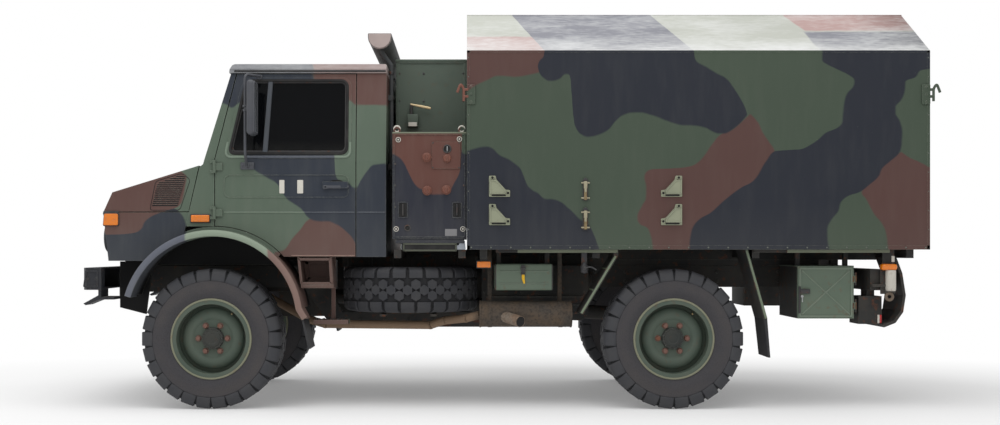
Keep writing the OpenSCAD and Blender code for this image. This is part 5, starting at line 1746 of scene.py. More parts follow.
@dataclass
class Seats:
    """Two cushioned seats with swelling cloth covers."""

    offset: float = 0.48
    voxel: float = 0.006
    pressure: float = 4.0
    reach: float = 0.024
    frames: int = 20
    shrink: float = 0.016

    def build(self) -> None:
        """Builds cushions and backs."""
        coat(CHASSIS_PAINT, "seats")
        shrink = self.shrink
        cushion = Form().box(
            (station(606) + shrink, -0.225 + shrink, 1.372), (station(1044) - shrink, 0.225 - shrink, 1.478),
            0.035, 4,
        )
        back = Form().box((-0.045, -0.225 + shrink, -0.3), (0.035, 0.225 - shrink, 0.29), 0.03, 4)
        back.moved(Matrix.Translation((station(1104), 0, 1.752)) @ Matrix.Rotation(math.radians(3.2), 4, "Y"))
        for label, form in (("cushion", cushion), ("backrest", back)):
            self._pad(label, form)

    def _swollen(self, form: Form) -> bpy.types.Mesh:
        """Blows a form up as cloth under pressure.

        Args:
            form: Shape of the pad before it swells.

        Returns:
            The swollen mesh.
        """
        start = form.mesh("pad_start", 60.0)
        pad = bpy.data.objects.new("pad_start", start)
        scene = bpy.context.scene
        scene.collection.objects.link(pad)
        remesh = pad.modifiers.new("even", "REMESH")
        remesh.mode = "VOXEL"
        remesh.voxel_size = self.voxel
        graph = bpy.context.evaluated_depsgraph_get()
        even = bpy.data.meshes.new_from_object(pad.evaluated_get(graph))
        pad.modifiers.clear()
        pad.data = even
        before = [vert.co.copy() for vert in even.vertices]
        cloth = pad.modifiers.new("swell", "CLOTH")
        cloth.settings.use_pressure = True
        cloth.settings.uniform_pressure_force = self.pressure
        cloth.settings.effector_weights.gravity = 0.0
        cloth.point_cache.frame_start = 1
        cloth.point_cache.frame_end = self.frames
        for step in range(1, self.frames + 1):
            scene.frame_set(step)
        graph = bpy.context.evaluated_depsgraph_get()
        swollen = bpy.data.meshes.new_from_object(pad.evaluated_get(graph))
        scene.frame_set(1)
        for vert, old in zip(swollen.vertices, before):
            move = vert.co - old
            if move.length > self.reach:
                vert.co = old + move.normalized() * self.reach
        bpy.data.objects.remove(pad)
        return swollen

    def _pad(self, label: str, form: Form) -> None:
        """Makes the pad of both seats."""
        swollen = self._swollen(form)
        for side, hand in SIDES:
            pad = Form()
            pad.bm.from_mesh(swollen)
            bmesh.ops.smooth_vert(
                pad.bm, verts=pad.bm.verts, factor=0.5, use_axis_x=True, use_axis_y=True, use_axis_z=True,
            )
            pad.moved(Matrix.Translation((0, side * self.offset, 0)))
            nodes = ("seats",) if (label, side) == ("cushion", LEFT) else ()
            obj = piece(f"seat_{label}_{hand}", pad, SEAT_CLOTH, replaces=nodes, sharp=60.0)


# Behind the cab


@dataclass
class Generator:
    """Dress of the generator, the green unit above it and the trough over the cab."""

    face: float = -1.1
    unit_face: float = -0.64

    def build(self) -> None:
        """Dresses the generator, unit and trough."""
        coat(GENERATOR_PAINT, "generator")
        coat(UNIT_PAINT, "equipment_unit")
        coat(TROUGH_PAINT, "stowage_trough")
        self._panels()
        self._knobs()
        self._bolts()
        self._handles()
        self._unit()
        self._trough()

    def _rect(
        self, x0: float, x1: float, z0: float, z1: float, out: float = 0.0,
    ) -> list[tuple[float, float, float]]:
        """Corners of a rectangle on the generator's side, some distance outside it."""
        return upright(rect(x0, x1, z0, z1), self.face - out)

    def _panels(self) -> None:
        """Sub-panel, door seam, top edge, base rail, foot with its pocket in painted shade, and corner
        bracket.
        """
        form = Form().plate(self._rect(-0.551, -0.349, 1.686, 1.878), (0, -0.007, 0), 0.01, 0.0, 0.002)
        form.plate(self._rect(-0.818, -0.312, 1.205, 1.932), (0, -0.005, 0), 0.016, 0.01, 0.002)
        form.box((-0.826, self.face - 0.006, 1.926), (-0.304, -0.15, 1.943), 0.003)
        form.box((-0.804, self.face - 0.004, 1.166), (-0.322, -0.16, 1.186), 0.003, 1)
        piece("generator_panels", form, GENERATOR_PAINT)
        plate = Form().plate(self._rect(-0.457, -0.373, 1.217, 1.266), (0, -0.0025, 0), 0.004, 0.0, 0.0008)
        piece("generator_plate", plate, GREY_PLATE)
        rail = Form().box((-0.826, self.face - 0.0085, 1.934), (-0.304, self.face + 0.004, 1.9445), 0.003)
        piece("generator_rails", rail, OLIVE)
        foot = Form().plate(self._rect(-0.752, -0.374, 1.11, 1.167), (0, -0.007, 0), 0.004, 0.012, 0.001)
        piece("generator_foot", foot, FOOT_PAINT)
        # The pocket is a near-black plate: painted shade in the recess.
        pocket = Form().plate(
            self._rect(-0.744, -0.382, 1.118, 1.166, -0.001), (0, -0.003, 0), 0.003, 0.0, 0.0008,
        )
        piece("generator_pocket", pocket, SHADE_AND_SEAL_BLACK)
        y = -1.072
        corners = (
            (-0.392, 1.122), (-0.312, 1.122), (-0.318, 1.186), (-0.352, 1.176), (-0.362, 1.152),
            (-0.392, 1.15),
        )
        bracket = Form().plate(upright(corners, y), (0, -0.026, 0), 0.006, 0.0, 0.002)
        piece("generator_corner", bracket, CORNER_PAINT)

    def _knobs(self) -> None:
        """Four turn knobs, the socket with its bar and the drain hole, both holes in painted shade."""
        form = Form()
        for x, z in ((-0.585, 1.767), (-0.4416, 1.76), (-0.5823, 1.535), (-0.4472, 1.54)):
            place = facing(LEFTWARD, (x, self.face, z))
            form.lathe(
                ((0.034, 0.0), (0.034, 0.005), (0.029, 0.008), (0.026, 0.022), (0.021, 0.026), (0.0, 0.026)),
                place, 28,
            )
            form.box(
                (x - 0.005, self.face - 0.034, z - 0.024), (x + 0.005, self.face - 0.022, z + 0.024), 0.003,
            )
        piece("generator_knobs", form, KNOB_PAINT)
        rim = Form()
        hole = Form()
        for x, z, r, out in ((-0.4416, 1.826, 0.024, 0.007), (-0.7195, 1.273, 0.017, 0.0)):
            place = facing(LEFTWARD, (x, self.face - out, z))
            rim.lathe(((r + 0.006, 0.0), (r + 0.006, 0.005), (r, 0.006), (r - 0.002, 0.0)), place, 28)
            hole.lathe(((r, 0.001), (r * 0.5, 0.0014), (0.0, 0.0016)), place, 24)
        piece("generator_socket_rims", rim, DARK_STEEL)
        # Both holes are near-black discs: painted shade.
        piece("generator_sockets", hole, SHADE_AND_SEAL_BLACK)
        slit = Form().box((-0.445, self.face - 0.013, 1.808), (-0.438, self.face - 0.008, 1.845), 0.0015, 1)
        piece("generator_socket_bar", slit, STEEL)

    def _bolts(self) -> None:
        """Corner bolts on pale washers and rings to lift the generator by."""
        pale = Form()
        head = Form()
        for x, z in ((-0.784, 1.891), (-0.356, 1.895), (-0.799, 1.266), (-0.332, 1.266)):
            place = facing(LEFTWARD, (x, self.face, z))
            pale.lathe(((0.0185, 0.0), (0.0185, 0.006), (0.014, 0.007), (0.0135, 0.003)), place, 24)
            pale.rod((x, self.face - 0.004, z), (x, self.face - 0.013, z), 0.0068, 0.006, sides=6)
            head.rod((x, self.face, z), (x, self.face - 0.0045, z), 0.014)
        piece("generator_washers", pale, PALE_PLATE)
        small = hex_bolt(0.0055, 0.005)
        spots = [(x, z) for x in (-0.541, -0.359) for z in (1.696, 1.868)]
        spots += [(x, z) for x in (-0.806, -0.324) for z in (1.42, 1.57, 1.72)]
        head.stamp(small, (facing(LEFTWARD, (x, self.face - 0.005, z)) for x, z in spots))
        piece("generator_bolts", head, DARK_STEEL)
        ring = Form()
        for x in (-0.795, -0.34):
            ring.lathe(round_loop(0.0205, 0.0062), facing(LEFTWARD, (x, -1.06, 1.97)), 32, closed=True)
            ring.rod((x, -1.06, 1.935), (x, -1.06, 1.943), 0.018, sides=18, bevel=0.002)
        piece("generator_rings", ring, PALE_PLATE)

    def _handles(self) -> None:
        """Two sunk carrying handles, their recesses in painted shade."""
        cup = Form()
        bar = Form()
        dark = Form()
        for x0, x1 in ((-0.787, -0.715), (-0.409, -0.337)):
            cup.plate(self._rect(x0, x1, 1.341, 1.457), (0, -0.006, 0), 0.012, 0.009, 0.002)
            dark.plate(self._rect(x0 + 0.009, x1 - 0.009, 1.35, 1.448), (0, -0.0016, 0), 0.006)
            middle = (x0 + x1) / 2.0
            bar.tube(
                [
                    (middle, self.face, 1.362), (middle, self.face - 0.016, 1.362),
                    (middle, self.face - 0.016, 1.436), (middle, self.face, 1.436),
                ],
                0.0055, 0.01, 3,
            )
        piece("generator_cups", cup, GENERATOR_PAINT)
        # The recesses behind the handle bars are near-black plates: painted shade.
        piece("generator_recesses", dark, SHADE_AND_SEAL_BLACK)
        piece("generator_handles", bar, DARK_STEEL)

    def _unit(self) -> None:
        """Frame and screws of the green unit and its lever with a wooden grip."""
        y = self.unit_face
        corners = rect(-0.815, -0.313, 1.955, 2.506)
        form = Form().plate(upright(corners, y), (0, -0.006, 0), 0.012, 0.016, 0.002)
        form.box((-0.829, y - 0.01, 2.5), (-0.304, 0.65, 2.52), 0.004)
        form.box((-0.74, y - 0.06, 2.02), (-0.66, y + 0.002, 2.112), 0.006)
        piece("unit_frame", form, UNIT_PAINT)
        head = hex_bolt(0.0065, 0.005)
        spots = [(x, z) for x in (-0.8, -0.622, -0.328) for z in (1.985, 2.214, 2.416)]
        screws = Form().stamp(head, (facing(LEFTWARD, (x, y - 0.001, z)) for x, z in spots))
        piece("unit_screws", screws, DARK_STEEL)
        lever = Form().rod((-0.712, y - 0.034, 2.108), (-0.712, y - 0.034, 2.176), 0.012, 0.01, sides=16)
        lever.box((-0.724, y - 0.044, 2.164), (-0.696, y - 0.02, 2.184), 0.006)
        piece("unit_lever", lever, DARK_STEEL)
        place = facing((0.15, 0, -0.031), (-0.717, y - 0.046, 2.186))
        profile = (
            (0.0, 0.0), (0.006, 0.001), (0.007, 0.03), (0.0095, 0.085), (0.01, 0.13), (0.008, 0.15),
            (0.0, 0.154),
        )
        piece("unit_grip", Form().lathe(profile, place, 20), WOOD)
        tag = rect(-0.731, -0.669, 2.023, 2.053)
        plate = Form().plate(upright(tag, y - 0.06), (0, -0.002, 0), 0.003, 0.0, 0.0006)
        piece("unit_plate", plate, PALE_PLATE)

    def _trough(self) -> None:
        """Rolled end caps of the trough and its clamps."""
        x0, x1 = station(1088), station(1256)
        corners = rect(x0, x1, 2.56, 2.67)
        form = Form().plate(upright(corners, -0.902), (0, 0.03, 0), 0.082, 0.0, 0.006, only=(0, 1))
        piece("trough_ends", form.both(), TROUGH_END)
        clamps = Form()
        for z in (1.72, 2.22, 2.4):
            clamps.rod(
                (station(1249), -0.78, z - 0.012), (station(1249), -0.78, z + 0.012), 0.021, sides=18,
                bevel=0.002,
            )
        piece("trough_clamps", clamps.both(), DARK_STEEL)


# Shelter


@dataclass
class Shelter:
    """Dress of the closed shelter body."""

    front: float = -0.303
    rear: float = 2.92
    half: float = 1.15
    floor: float = 1.122
    eave: float = 2.508

    def build(self) -> None:
        """Dresses the shelter and gives its nodes their finishes."""
        coat(SHELTER_PAINT, "shelter_sides", "shelter_front", "shelter_rear", "shelter_door", "shelter_floor")
        coat(SHELTER_ROOF_PAINT, "shelter_roof")
        self._edges()
        self._rivets()
        self._brackets()
        self._latches()
        self._hooks()
        self._roof()
        self._rear()

    def _edges(self) -> None:
        """Edge strips round each side wall."""
        form = Form()
        y, out = -self.half, -self.half - 0.0022
        for x0, x1 in ((self.front, self.front + 0.02), (self.rear - 0.02, self.rear)):
            form.box((x0 - 0.0008, out, self.floor), (x1 + 0.0008, y + 0.004, self.eave), 0.001, 1)
        form.box((self.front, out, self.floor), (self.rear, y + 0.004, self.floor + 0.03), 0.001, 1)
        form.box((self.front, out, self.eave - 0.016), (self.rear, y + 0.004, self.eave + 0.001), 0.001, 1)
        piece("shelter_edges", form.both(), SHELTER_PAINT)

    def _rivets(self) -> None:
        """Rivets along the lower edge and the corners."""
        form = Form()
        y = -self.half - 0.001
        rivet_row(
            form, (self.front + 0.03, y, self.floor + 0.014), (self.rear - 0.03, y, self.floor + 0.014), 24,
            0.0065,
        )
        for x in (self.front + 0.01, self.rear - 0.01):
            rivet_row(form, (x, y, self.floor + 0.14), (x, y, self.eave - 0.05), 10, 0.0048)
        piece("shelter_rivets", form.both(), RIVET_PAINT)

    def _brackets(self) -> None:
        """Four three-cornered side brackets with bolted lugs on each side; the slot under the lip and the lug
        holes are in painted shade.
        """
        form, dark = Form(), Form()
        y = -self.half
        base = (
            (0.0, 0.0), (0.147, 0.0), (0.147, 0.046), (0.116, 0.05), (0.052, 0.12), (0.046, 0.147),
            (0.0, 0.147),
        )
        body = ((0.006, 0.02), (0.118, 0.02), (0.114, 0.046), (0.048, 0.116), (0.006, 0.116))
        slot = rect(0.018, 0.118, 0.005, 0.016)
        for offset, way in ((0.153, 1.0), (1.497, -1.0)):
            x = self.front + offset
            for z in (1.292, 1.489):
                for target, shape, depth, bevel in (
                    (form, base, 0.01, 0.002), (form, body, 0.026, 0.005), (dark, slot, 0.0108, 0.0),
                ):
                    corners = [(x + way * u, y + 0.001, z + v) for u, v in shape]
                    target.plate(corners, (0, -depth, 0), 0.006, 0.0, bevel)
                form.plate([(x + way * u, y, z + v) for u, v in body], (0, -0.0285, 0), 0.006, 0.007, 0.0015)
                for u, v in ((0.024, 0.133), (0.132, 0.026)):
                    spot = facing(LEFTWARD, (x + way * u, y - 0.009, z + v))
                    form.lathe(((0.014, 0.0), (0.013, 0.007), (0.009, 0.007), (0.0085, 0.0)), spot, 20)
                    dark.lathe(((0.009, 0.002), (0.005, 0.003), (0.0, 0.003)), spot, 16)
        piece("shelter_brackets", form.both(), FITTING_PAINT, replaces=("shelter_fittings",))
        # Slot and lug holes are near-black: painted shade.
        piece("bracket_openings", dark.both(), SHADE_AND_SEAL_BLACK)

    def _latches(self) -> None:
        """Toggle latches between the brackets: base, cross pins, draw bar and bright lever."""
        base, bar, bright = Form(), Form(), Form()
        x, y = self.front + 0.824, -self.half
        for z in (1.257, 1.462):
            base.plate(upright(rect(x - 0.019, x + 0.019, z, z + 0.15), y), (0, -0.004, 0), 0.008, 0.0, 0.001)
            base.rod((x, y, z + 0.148), (x, y - 0.016, z + 0.148), 0.0115, sides=18, bevel=0.003)
            for v in (0.018, 0.124):
                base.box((x - 0.022, y - 0.014, z + v - 0.009), (x + 0.022, y, z + v + 0.009), 0.003, 1)
                bright.rod(
                    (x - 0.03, y - 0.014, z + v), (x + 0.03, y - 0.014, z + v), 0.0055, sides=12, bevel=0.001,
                )
            bar.box((x - 0.011, y - 0.021, z + 0.004), (x + 0.011, y - 0.003, z + 0.086), 0.006, 3)
            bright.box((x - 0.0125, y - 0.025, z + 0.082), (x + 0.0125, y - 0.006, z + 0.136), 0.006, 3)
            bright.box((x - 0.008, y - 0.024, z + 0.058), (x + 0.008, y - 0.012, z + 0.086), 0.004)
        piece("latch_bases", base.both(), DARK_STEEL)
        piece("shelter_latches", bar.both(), BRASS)
        piece("latch_levers", bright.both(), LATCH_PAINT)

    def _hooks(self) -> None:
        """Hook plates and rope hooks at the corners, and the rub strips under the body."""
        form = Form()
        y = -self.half
        for label, x0, x1, way, finish in (
            ("front", self.front, self.front + 0.058, -1.0, KNOB_PAINT),
            ("rear", self.rear - 0.058, self.rear, 1.0, SHELTER_PAINT),
        ):
            hook = Form()
            form.plate(upright(rect(x0, x1, 2.132, 2.273), y), (0, -0.012, 0), 0.008, 0.0, 0.003)
            middle = (x0 + x1) / 2.0
            spots = [(middle, v) for v in (2.15, 2.203, 2.255)]
            form.stamp(hex_bolt(0.0075, 0.008), (facing(LEFTWARD, (u, y - 0.011, v)) for u, v in spots))
            edge = x0 if way < 0 else x1
            line = ((0.022, 2.154), (0.022, 2.243), (0.045, 2.275), (0.068, 2.214))
            hook.tube([(edge + way * u, y - 0.008, z) for u, z in line], 0.0095, 0.03)
            for z in (2.178, 2.226):
                hook.box(
                    (edge - way * 0.01, y - 0.016, z), (edge + way * 0.024, y + 0.004, z + 0.018), 0.003, 1,
                )
            piece(f"rope_hooks_{label}", hook.both(), finish)
        piece("hook_plates", form.both(), SHELTER_PAINT)
        strip = Form()
        for x0, x1 in ((2151, 2851), (4038, 4757)):
            strip.box((station(x0), -1.1025, 1.1), (station(x1), -1.0975, 1.1225), 0.002, 1)
        piece("shelter_rub_strips", strip.both(), OLIVE)

    def _roof(self) -> None:
        """Seams of the roof sheets."""
        form = Form()
        for y in (-0.552, 0.552):
            form.tube([(self.front, y, 2.858), (self.rear, y, 2.858)], 0.006, 0.0, 2)
        for i in range(1, 4):
            x = self.front + (self.rear - self.front) * i / 4.0
            form.box((x - 0.02, -0.548, 2.857), (x + 0.02, 0.548, 2.861), 0.0015, 1)
        piece("roof_seams", form, SHELTER_ROOF_PAINT)

    def _rear(self) -> None:
        """Door gasket, pressing and lever, grab rails, blank plate and rivets at the rear."""
        corners = rect(-0.384, 0.384, 1.196, 2.354)
        gasket = Form().plate(crosswise(corners, self.rear - 0.012), (0.01, 0, 0), 0.004, 0.005)
        piece("shelter_gasket", gasket, SEAL)
        inner = rect(-0.33, 0.33, 1.26, 2.29)
        panel = Form().plate(crosswise(inner, self.rear - 0.001), (0.006, 0, 0), 0.03, 0.016, 0.003)
        panel.box((self.rear - 0.001, -0.2, 1.95), (self.rear + 0.01, 0.2, 2.02), 0.004)
        piece("shelter_door_pressing", panel, SHELTER_PAINT, "shelter_door")
        lever = Form().box((self.rear, 0.286, 1.646), (self.rear + 0.031, 0.329, 1.834), 0.006)
        lever.rod((self.rear + 0.02, 0.3075, 1.74), (self.rear + 0.04, 0.3075, 1.74), 0.018, bevel=0.002)
        lever.box((self.rear + 0.032, 0.18, 1.727), (self.rear + 0.046, 0.318, 1.753), 0.005)
        lever.rod((self.rear + 0.014, 0.3075, 1.83), (self.rear + 0.014, 0.3075, 2.3), 0.008, sides=12)
        lever.rod((self.rear + 0.014, 0.3075, 1.65), (self.rear + 0.014, 0.3075, 1.24), 0.008, sides=12)
        piece("shelter_door_lever", lever, DARK_STEEL, "shelter_door")
        grabs = Form()
        for y in (-0.8, 0.8):
            grabs.tube(
                [
                    (self.rear - 0.002, y, 1.5), (self.rear + 0.055, y, 1.5), (self.rear + 0.055, y, 1.95),
                    (self.rear - 0.002, y, 1.95),
                ],
                0.011, 0.03, 4,
            )
            for z in (1.5, 1.95):
                grabs.rod((self.rear - 0.001, y, z), (self.rear + 0.006, y, z), 0.026, bevel=0.002)
        piece("shelter_grab_rails", grabs, SHELTER_PAINT)
        tag = rect(0.55, 0.95, 2.1, 2.22)
        plate = Form().plate(crosswise(tag, self.rear - 0.001), (0.004, 0, 0), 0.01, 0.0, 0.001)
        piece("shelter_rear_plate", plate, FITTING_PAINT)
        trim = Form()
        for y in (-1.1, 1.1):
            rivet_row(trim, (self.rear + 0.0005, y, 1.15), (self.rear + 0.0005, y, 2.47), 12, 0.006)
        rivet_row(trim, (self.rear + 0.0005, -1.1, 1.145), (self.rear + 0.0005, 1.1, 1.145), 16, 0.006)
        piece("shelter_rear_rivets", trim, RIVET_PAINT)


# Chassis


@dataclass
class Chassis:
    """Dress of the frame, boxes, exhaust, springs and rear lamps."""

    rail_end: float = station(4640)

    def build(self) -> None:
        """Dresses the chassis and gives its nodes their finishes."""
        # The side locker body takes the dark chassis paint as painted shade on its faces; the tool box is
        # skinned green below.
        coat(
            CHASSIS_PAINT, "frame_rails", "frame_crossmembers", "subframe", "rear_beam", "fuel_tank",
            "powertrain", "rear_mudguards", "side_lockers",
        )
        coat(
            AXLE_PAINT, "front_axle", "rear_axle", "knuckle_left", "knuckle_right", "tie_rod",
            "spare_carrier",
        )
        coat(SILENCER, "exhaust")
        coat(BOX_PAINT, "locker_door")
        coat(FLAP, "mud_flaps")
        coat(RIM_PAINT, "rim_front_left", "rim_front_right", "rim_rear_left", "rim_rear_right", "spare_rim")
        self._springs()
        self._exhaust()
        self._tool_box()
        self._locker()
        self._air_valve()
        self._rail_bolts()
        self._tank()
        self._underside()
        self._rear_lamps()
        self._guards()

    def _springs(self) -> None:
        """Coil springs over the axles."""
        form = Form()
        turns, points = 4.5, 90
        width, coil, foot, rise = 0.485, 0.06, 0.702, 0.113
        for x in (FRONT_AXLE, REAR_AXLE):
            for side in (LEFT, RIGHT):
                y = side * width
                path = []
                for i in range(points + 1):
                    a = math.tau * turns * i / points
                    path.append((x + coil * math.cos(a), y + coil * math.sin(a), foot + rise * i / points))
                form.tube(path, 0.0125, 0.0, 2)
                form.rod((x, y, 0.689), (x, y, 0.828), 0.032)
                form.rod((x, y, 0.82), (x, y, 0.828), 0.078, sides=28, bevel=0.002)
        piece("coil_springs", form, AXLE_PAINT, replaces=("springs",))

    def _exhaust(self) -> None:
        """Seams and straps of the silencer and the tail pipe with its mouth in painted shade."""
        form = Form()
        place = facing(BACKWARD, (station(1885), -0.9, 0.662))
        for at in (0.0, 0.646):
            form.lathe(band(0.0925, 0.0965, at, 0.014, 0.002), place, 48)
        for at in (0.004, 0.61):
            form.lathe(band(0.093, 0.0945, at, 0.008, 0.002), place, 48)
        for at in (0.06, 0.565):
            form.lathe(band(0.093, 0.0955, at, 0.03, 0.001), place, 48)
        piece("silencer_seams", form, SILENCER)
        end = Vector((station(2172), -1.115, 0.618))
        way = (end - Vector((station(2040), -0.93, 0.652))).normalized()
        mouth = facing(way, end - way * 0.205)
        profile = (
            (0.033, 0.0), (0.0385, 0.003), (0.04, 0.2), (0.0388, 0.205), (0.036, 0.203), (0.0352, 0.15),
        )
        piece("tail_pipe", Form().lathe(profile, mouth, 32), TAIL_PIPE)
        # The mouth is a near-black disc: painted shade inside the pipe.
        dark = Form().lathe(((0.0362, 0.204), (0.02, 0.2037), (0.0, 0.2035)), mouth, 24)
        piece("tail_pipe_inside", dark, SHADE_AND_SEAL_BLACK)

    def _tool_box(self) -> None:
        """Skin, beads, latch and tag of the tool box."""
        x0, x1, y = station(1995), station(2404), -1.012
        form = Form().box((x0 - 0.0015, y - 0.0012, 0.8338), (x1 + 0.0015, -0.6385, 1.0212), 0.0145, 3)
        for z in (0.882, 0.97):
            form.tube([(x0 + 0.032, y + 0.001, z), (x1 - 0.032, y + 0.001, z)], 0.0068)
        piece("tool_box_beads", form, BOX_PAINT)
        middle = (x0 + x1) / 2.0 - 0.006
        latch = Form().box((middle - 0.014, y - 0.012, 0.944), (middle + 0.014, y - 0.001, 1.012), 0.003)
        latch.rod((middle - 0.019, y - 0.01, 0.992), (middle + 0.019, y - 0.01, 0.992), 0.0055, sides=12)
        latch.rod((middle - 0.012, y - 0.014, 0.95), (middle + 0.012, y - 0.014, 0.95), 0.005, sides=12)
        piece("tool_box_latch", latch, DARK_STEEL)
        tag = Form()
        corners = (
            (middle + 0.002, 0.882), (middle + 0.014, 0.88), (middle + 0.012, 0.906), (middle + 0.01, 0.946),
            (middle - 0.01, 0.946), (middle - 0.01, 0.916),
        )
        tag.plate(upright(corners, y - 0.009), (0, -0.003, 0), 0.003, 0.0, 0.0008)
        piece("tool_box_tag", tag, YELLOW_TAG)

    def _locker(self) -> None:
        """Crossed pressing, handle, key and rusty hinges of the locker door, and the locker's top."""
        y = -1.018
        x0, x1 = station(4133), station(4529)
        corners = rect(x0 + 0.01, x1 - 0.01, 0.645, 0.994)
        form = Form().plate(upright(corners, y + 0.001), (0, -0.006, 0), 0.012, 0.012, 0.002)
        form.tube([(x0 + 0.03, y + 0.0015, 0.664), (x1 - 0.03, y + 0.0015, 0.975)], 0.0062)
        form.tube([(x0 + 0.03, y + 0.0015, 0.975), (x1 - 0.03, y + 0.0015, 0.664)], 0.0062)
        piece("locker_pressing", form, LOCKER_EDGE, "locker_door")
        grip = Form().box((x0 + 0.016, y - 0.0195, 0.811), (x0 + 0.084, y + 0.001, 0.844), 0.006)
        grip.rod((x0 + 0.012, y - 0.004, 0.674), (x0 + 0.012, y - 0.004, 0.862), 0.008, sides=14, bevel=0.001)
        piece("locker_handle", grip, DARK_STEEL, "locker_door")
        key = Form().rod(
            (x0 + 0.03, y + 0.001, 0.792), (x0 + 0.03, y - 0.008, 0.792), 0.01, sides=18, bevel=0.001,
        )
        key.box((x0 + 0.026, y - 0.013, 0.752), (x0 + 0.034, y - 0.007, 0.798), 0.002)
        piece("locker_key", key, STEEL, "locker_door")
        hinge = Form()
        for z in (0.725, 0.914):
            hinge.rod(
                (station(4543), -1.008, z - 0.024), (station(4543), -1.008, z + 0.024), 0.0098, sides=16,
                bevel=0.001,
            )
            hinge.box((x1 - 0.022, y - 0.003, z - 0.02), (x1 + 0.004, y + 0.001, z + 0.02), 0.0015, 1)
        piece("locker_hinges", hinge, EXHAUST, "locker_door")
        top = [(station(x), v, 1.002) for x, v in rect(4129, 4539, -0.992, -0.476)]
        piece("locker_top", Form().plate(top, (0, 0, 0.006), 0.006, 0.0, 0.002), BOX_PAINT)

    def _air_valve(self) -> None:
        """Brake valve with its lever under the shelter edge."""
        form = Form().box((0.5, -1.078, 1.022), (0.54, -1.068, 1.112), 0.003, 1)
        form.lathe(
            (
                (0.0, 0.0), (0.02, 0.003), (0.027, 0.014), (0.027, 0.05), (0.02, 0.066), (0.012, 0.08),
                (0.0, 0.08),
            ),
            facing(UPWARD, (0.52, -1.082, 0.954)), 24,
        )
        form.rod((0.52, -1.082, 0.99), (0.52, -1.118, 0.99), 0.011, sides=16, bevel=0.001)
        form.tube([(0.518, -1.116, 0.992), (0.56, -1.116, 1.004), (0.602, -1.116, 0.98)], 0.006, 0.02)
        piece("air_valve", form, DARK_STEEL)

    def _rail_bolts(self) -> None:
        """Rows of bolts along the frame rails."""
        form = Form()
        head = hex_bolt(0.011, 0.01)
        spots = [(mm, z) for mm in range(2300, 4600, 230) for z in (0.885, 0.955)]
        spots += [(mm, 0.595) for mm in range(1000, 1900, 180)]
        for side in (LEFT, RIGHT):
            form.stamp(head, (facing((0, side, 0), (station(mm), side * 0.4, z)) for mm, z in spots))
        piece("rail_bolts", form, CHASSIS_PAINT)

    def _tank(self) -> None:
        """Straps and filler cap of the fuel tank."""
        form = Form()
        corners = rect(0.4265, 1.0035, 0.6165, 0.9885)
        for mm in (1290, 1720):
            form.plate(crosswise(corners, station(mm)), (0.04, 0, 0), 0.062, 0.0042, 0.001)
        place = facing(UPWARD, (station(1200), 0.9, 0.98))
        form.lathe(((0.047, 0.0), (0.05, 0.03), (0.05, 0.044), (0.044, 0.05), (0.0, 0.05)), place, 32)
        form.box((station(1200) - 0.04, 0.893, 1.028), (station(1200) + 0.04, 0.907, 1.04), 0.004)
        piece("tank_straps", form, DARK_STEEL)

    def _underside(self) -> None:
        """Splash plate, heat shield, air reservoirs and lid of the battery box."""
        splash = Form().box((station(860), -0.408, 0.992), (station(2720), -0.4, 1.082), 0.002, 1)
        for mm in range(900, 2700, 160):
            splash.box((station(mm), -0.412, 0.996), (station(mm + 24), -0.404, 1.078), 0.002, 1)
        piece("splash_plate", splash, CHASSIS_PAINT)
        corners = ((1905, 0.622), (2640, 0.6), (2690, 0.65), (2690, 1.004), (1905, 1.004))
        shield = Form().plate(staged(corners, -0.638), (0, 0.007, 0), 0.02, 0.0, 0.002)
        for z in (0.66, 0.72, 0.78):
            shield.tube([(station(1940), -0.637, z), (station(2650), -0.637, z)], 0.008)
        spots = [(mm, z) for mm in (1925, 2200, 2480, 2665) for z in (0.69, 0.81)]
        shield.stamp(hex_bolt(0.008, 0.007), (facing(LEFTWARD, (station(mm), -0.638, z)) for mm, z in spots))
        piece("heat_shield", shield, CHASSIS_PAINT)
        tanks = Form()
        y, z = -0.52, 0.872
        dome = ((0.0, 0.0), (0.06, 0.008), (0.092, 0.026), (0.105, 0.052))
        for start, end in ((1910, 2290), (2320, 2730)):
            length = (end - start) / 1000.0
            profile = dome + tuple((r, length - h) for r, h in dome[::-1])
            tanks.lathe(profile, facing(BACKWARD, (station(start), y, z)), 36)
            for mm in (start + 80, end - 110):
                tanks.lathe(band(0.1045, 0.1075, 0.0, 0.03, 0.001), facing(BACKWARD, (station(mm), y, z)), 36)
                tanks.box((station(mm), -0.43, 0.88), (station(mm + 30), -0.398, 0.96), 0.002, 1)
        piece("air_reservoirs", tanks, CHASSIS_PAINT)
        lid = Form().box((station(4071), 0.476, 0.996), (station(4368), 0.984, 1.014), 0.005)
        for mm in (4140, 4290):
            lid.box((station(mm), 0.978, 0.93), (station(mm + 30), 0.992, 1.006), 0.003, 1)
        piece("battery_lid", lid, CHASSIS_PAINT)

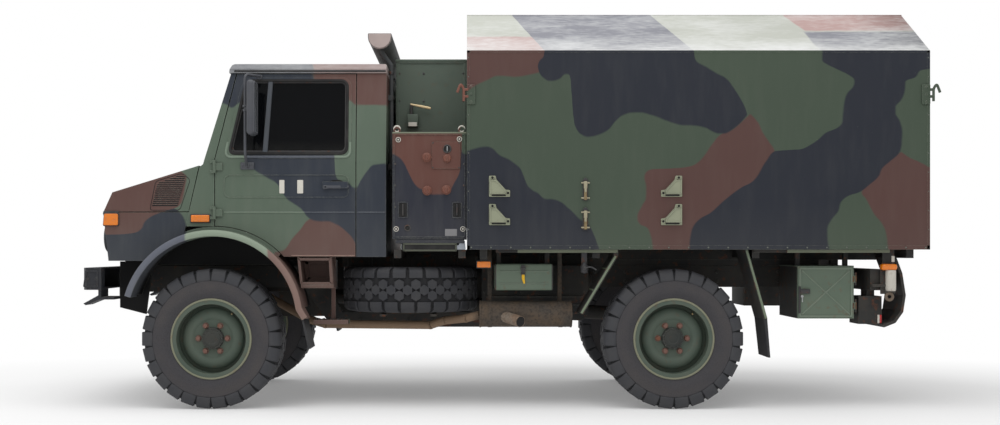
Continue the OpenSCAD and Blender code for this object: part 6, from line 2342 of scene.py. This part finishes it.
    def _rear_lamps(self) -> None:
        """Tail lamps: amber cap, weathered tube, rubber ring, reflectors and brackets."""
        end = self.rail_end
        x = end + 0.128
        profile = (
            (0.0, 0.0), (0.03, 0.001), (0.035, 0.008), (0.036, 0.02), (0.036, 0.138), (0.034, 0.148),
            (0.0, 0.15),
        )
        tube = Form().lathe(profile, facing(UPWARD, (x, -1.085, 0.83)), 32)
        piece("tail_lamp_tubes", tube.both(), WHITE_PAINT, replaces=("lamps",))
        amber = Form().box((end + 0.056, -1.121, 0.978), (end + 0.166, -1.049, 1.022), 0.016, 4)
        piece("tail_lamp_tops", amber.both(), AMBER)
        red = Form().box((station(4723), -0.9855, 0.6), (station(4737), -0.978, 0.66), 0.002, 1)
        piece("tail_reflectors", red.both(), RED)
        pale = Form().box((station(4708), -0.985, 0.6), (station(4722), -0.978, 0.66), 0.002, 1)
        pale.box((x + 0.008, -1.079, 1.034), (x + 0.03, -1.073, 1.078), 0.002, 1)
        piece("tail_tags", pale.both(), PALE_PLATE)
        ring = Form().lathe(
            round_loop(0.023, 0.011), facing(LEFTWARD, (x - 0.01, -1.086, 0.792)), 28, closed=True,
        )
        piece("rubber_rings", ring.both(), RING)
        bracket = Form().box((end, -1.085, 0.86), (end + 0.12, -1.04, 0.88), 0.003, 1)
        bracket.box((end + 0.06, -1.072, 0.81), (end + 0.12, -1.062, 0.985), 0.003, 1)
        bracket.box((end + 0.086, -1.092, 0.816), (end + 0.158, -1.062, 0.834), 0.003, 1)
        bracket.box((end + 0.074, -1.074, 1.016), (end + 0.158, -1.062, 1.124), 0.003, 1)
        piece("tail_lamp_brackets", bracket.both(), CHASSIS_PAINT)

    def _guards(self) -> None:
        """Stays of the rear mudguards."""
        form = Form()
        x = REAR_AXLE
        for points in (((x - 0.652, 0.676), (x - 0.412, 1.077)), ((x + 0.64, 0.64), (x + 0.504, 1.118))):
            form.tube(upright(points, -1.1), 0.0085)
        for u, z in ((x - 0.56, 0.835), (x - 0.47, 0.985), (x + 0.585, 0.835), (x + 0.545, 0.985)):
            form.rod((u, -1.085, z), (u, -0.79, z), 0.01, sides=14)
        piece("mudguard_stays", form.both(), GUARD_PAINT)


def main() -> None:
    """Dresses the truck, sub-assembly by sub-assembly."""
    logging.basicConfig(level=logging.INFO, format="%(name)s: %(message)s")
    Stage().build()
    for axle, along in (("front", FRONT_AXLE), ("rear", REAR_AXLE)):
        for side, hand in SIDES:
            label = f"{axle}_{hand}"
            Wheel(
                f"wheel_{label}", f"wheel_{label}", wheel_place(along, side), TYRE, TREAD, f"tyre_{label}",
            ).build()
    spare = Matrix.Translation((station(1380), -0.6, 0.837))
    Wheel("spare_wheel", "chassis", spare, SPARE, SPARE_TREAD, "spare_tyre", hub=False).build()
    CabShell().build()
    for side, hand in SIDES:
        Door(side, f"door_{hand}", hand).build()
    Seats().build()
    Generator().build()
    Shelter().build()
    Chassis().build()


if __name__ == "__main__":
    main()
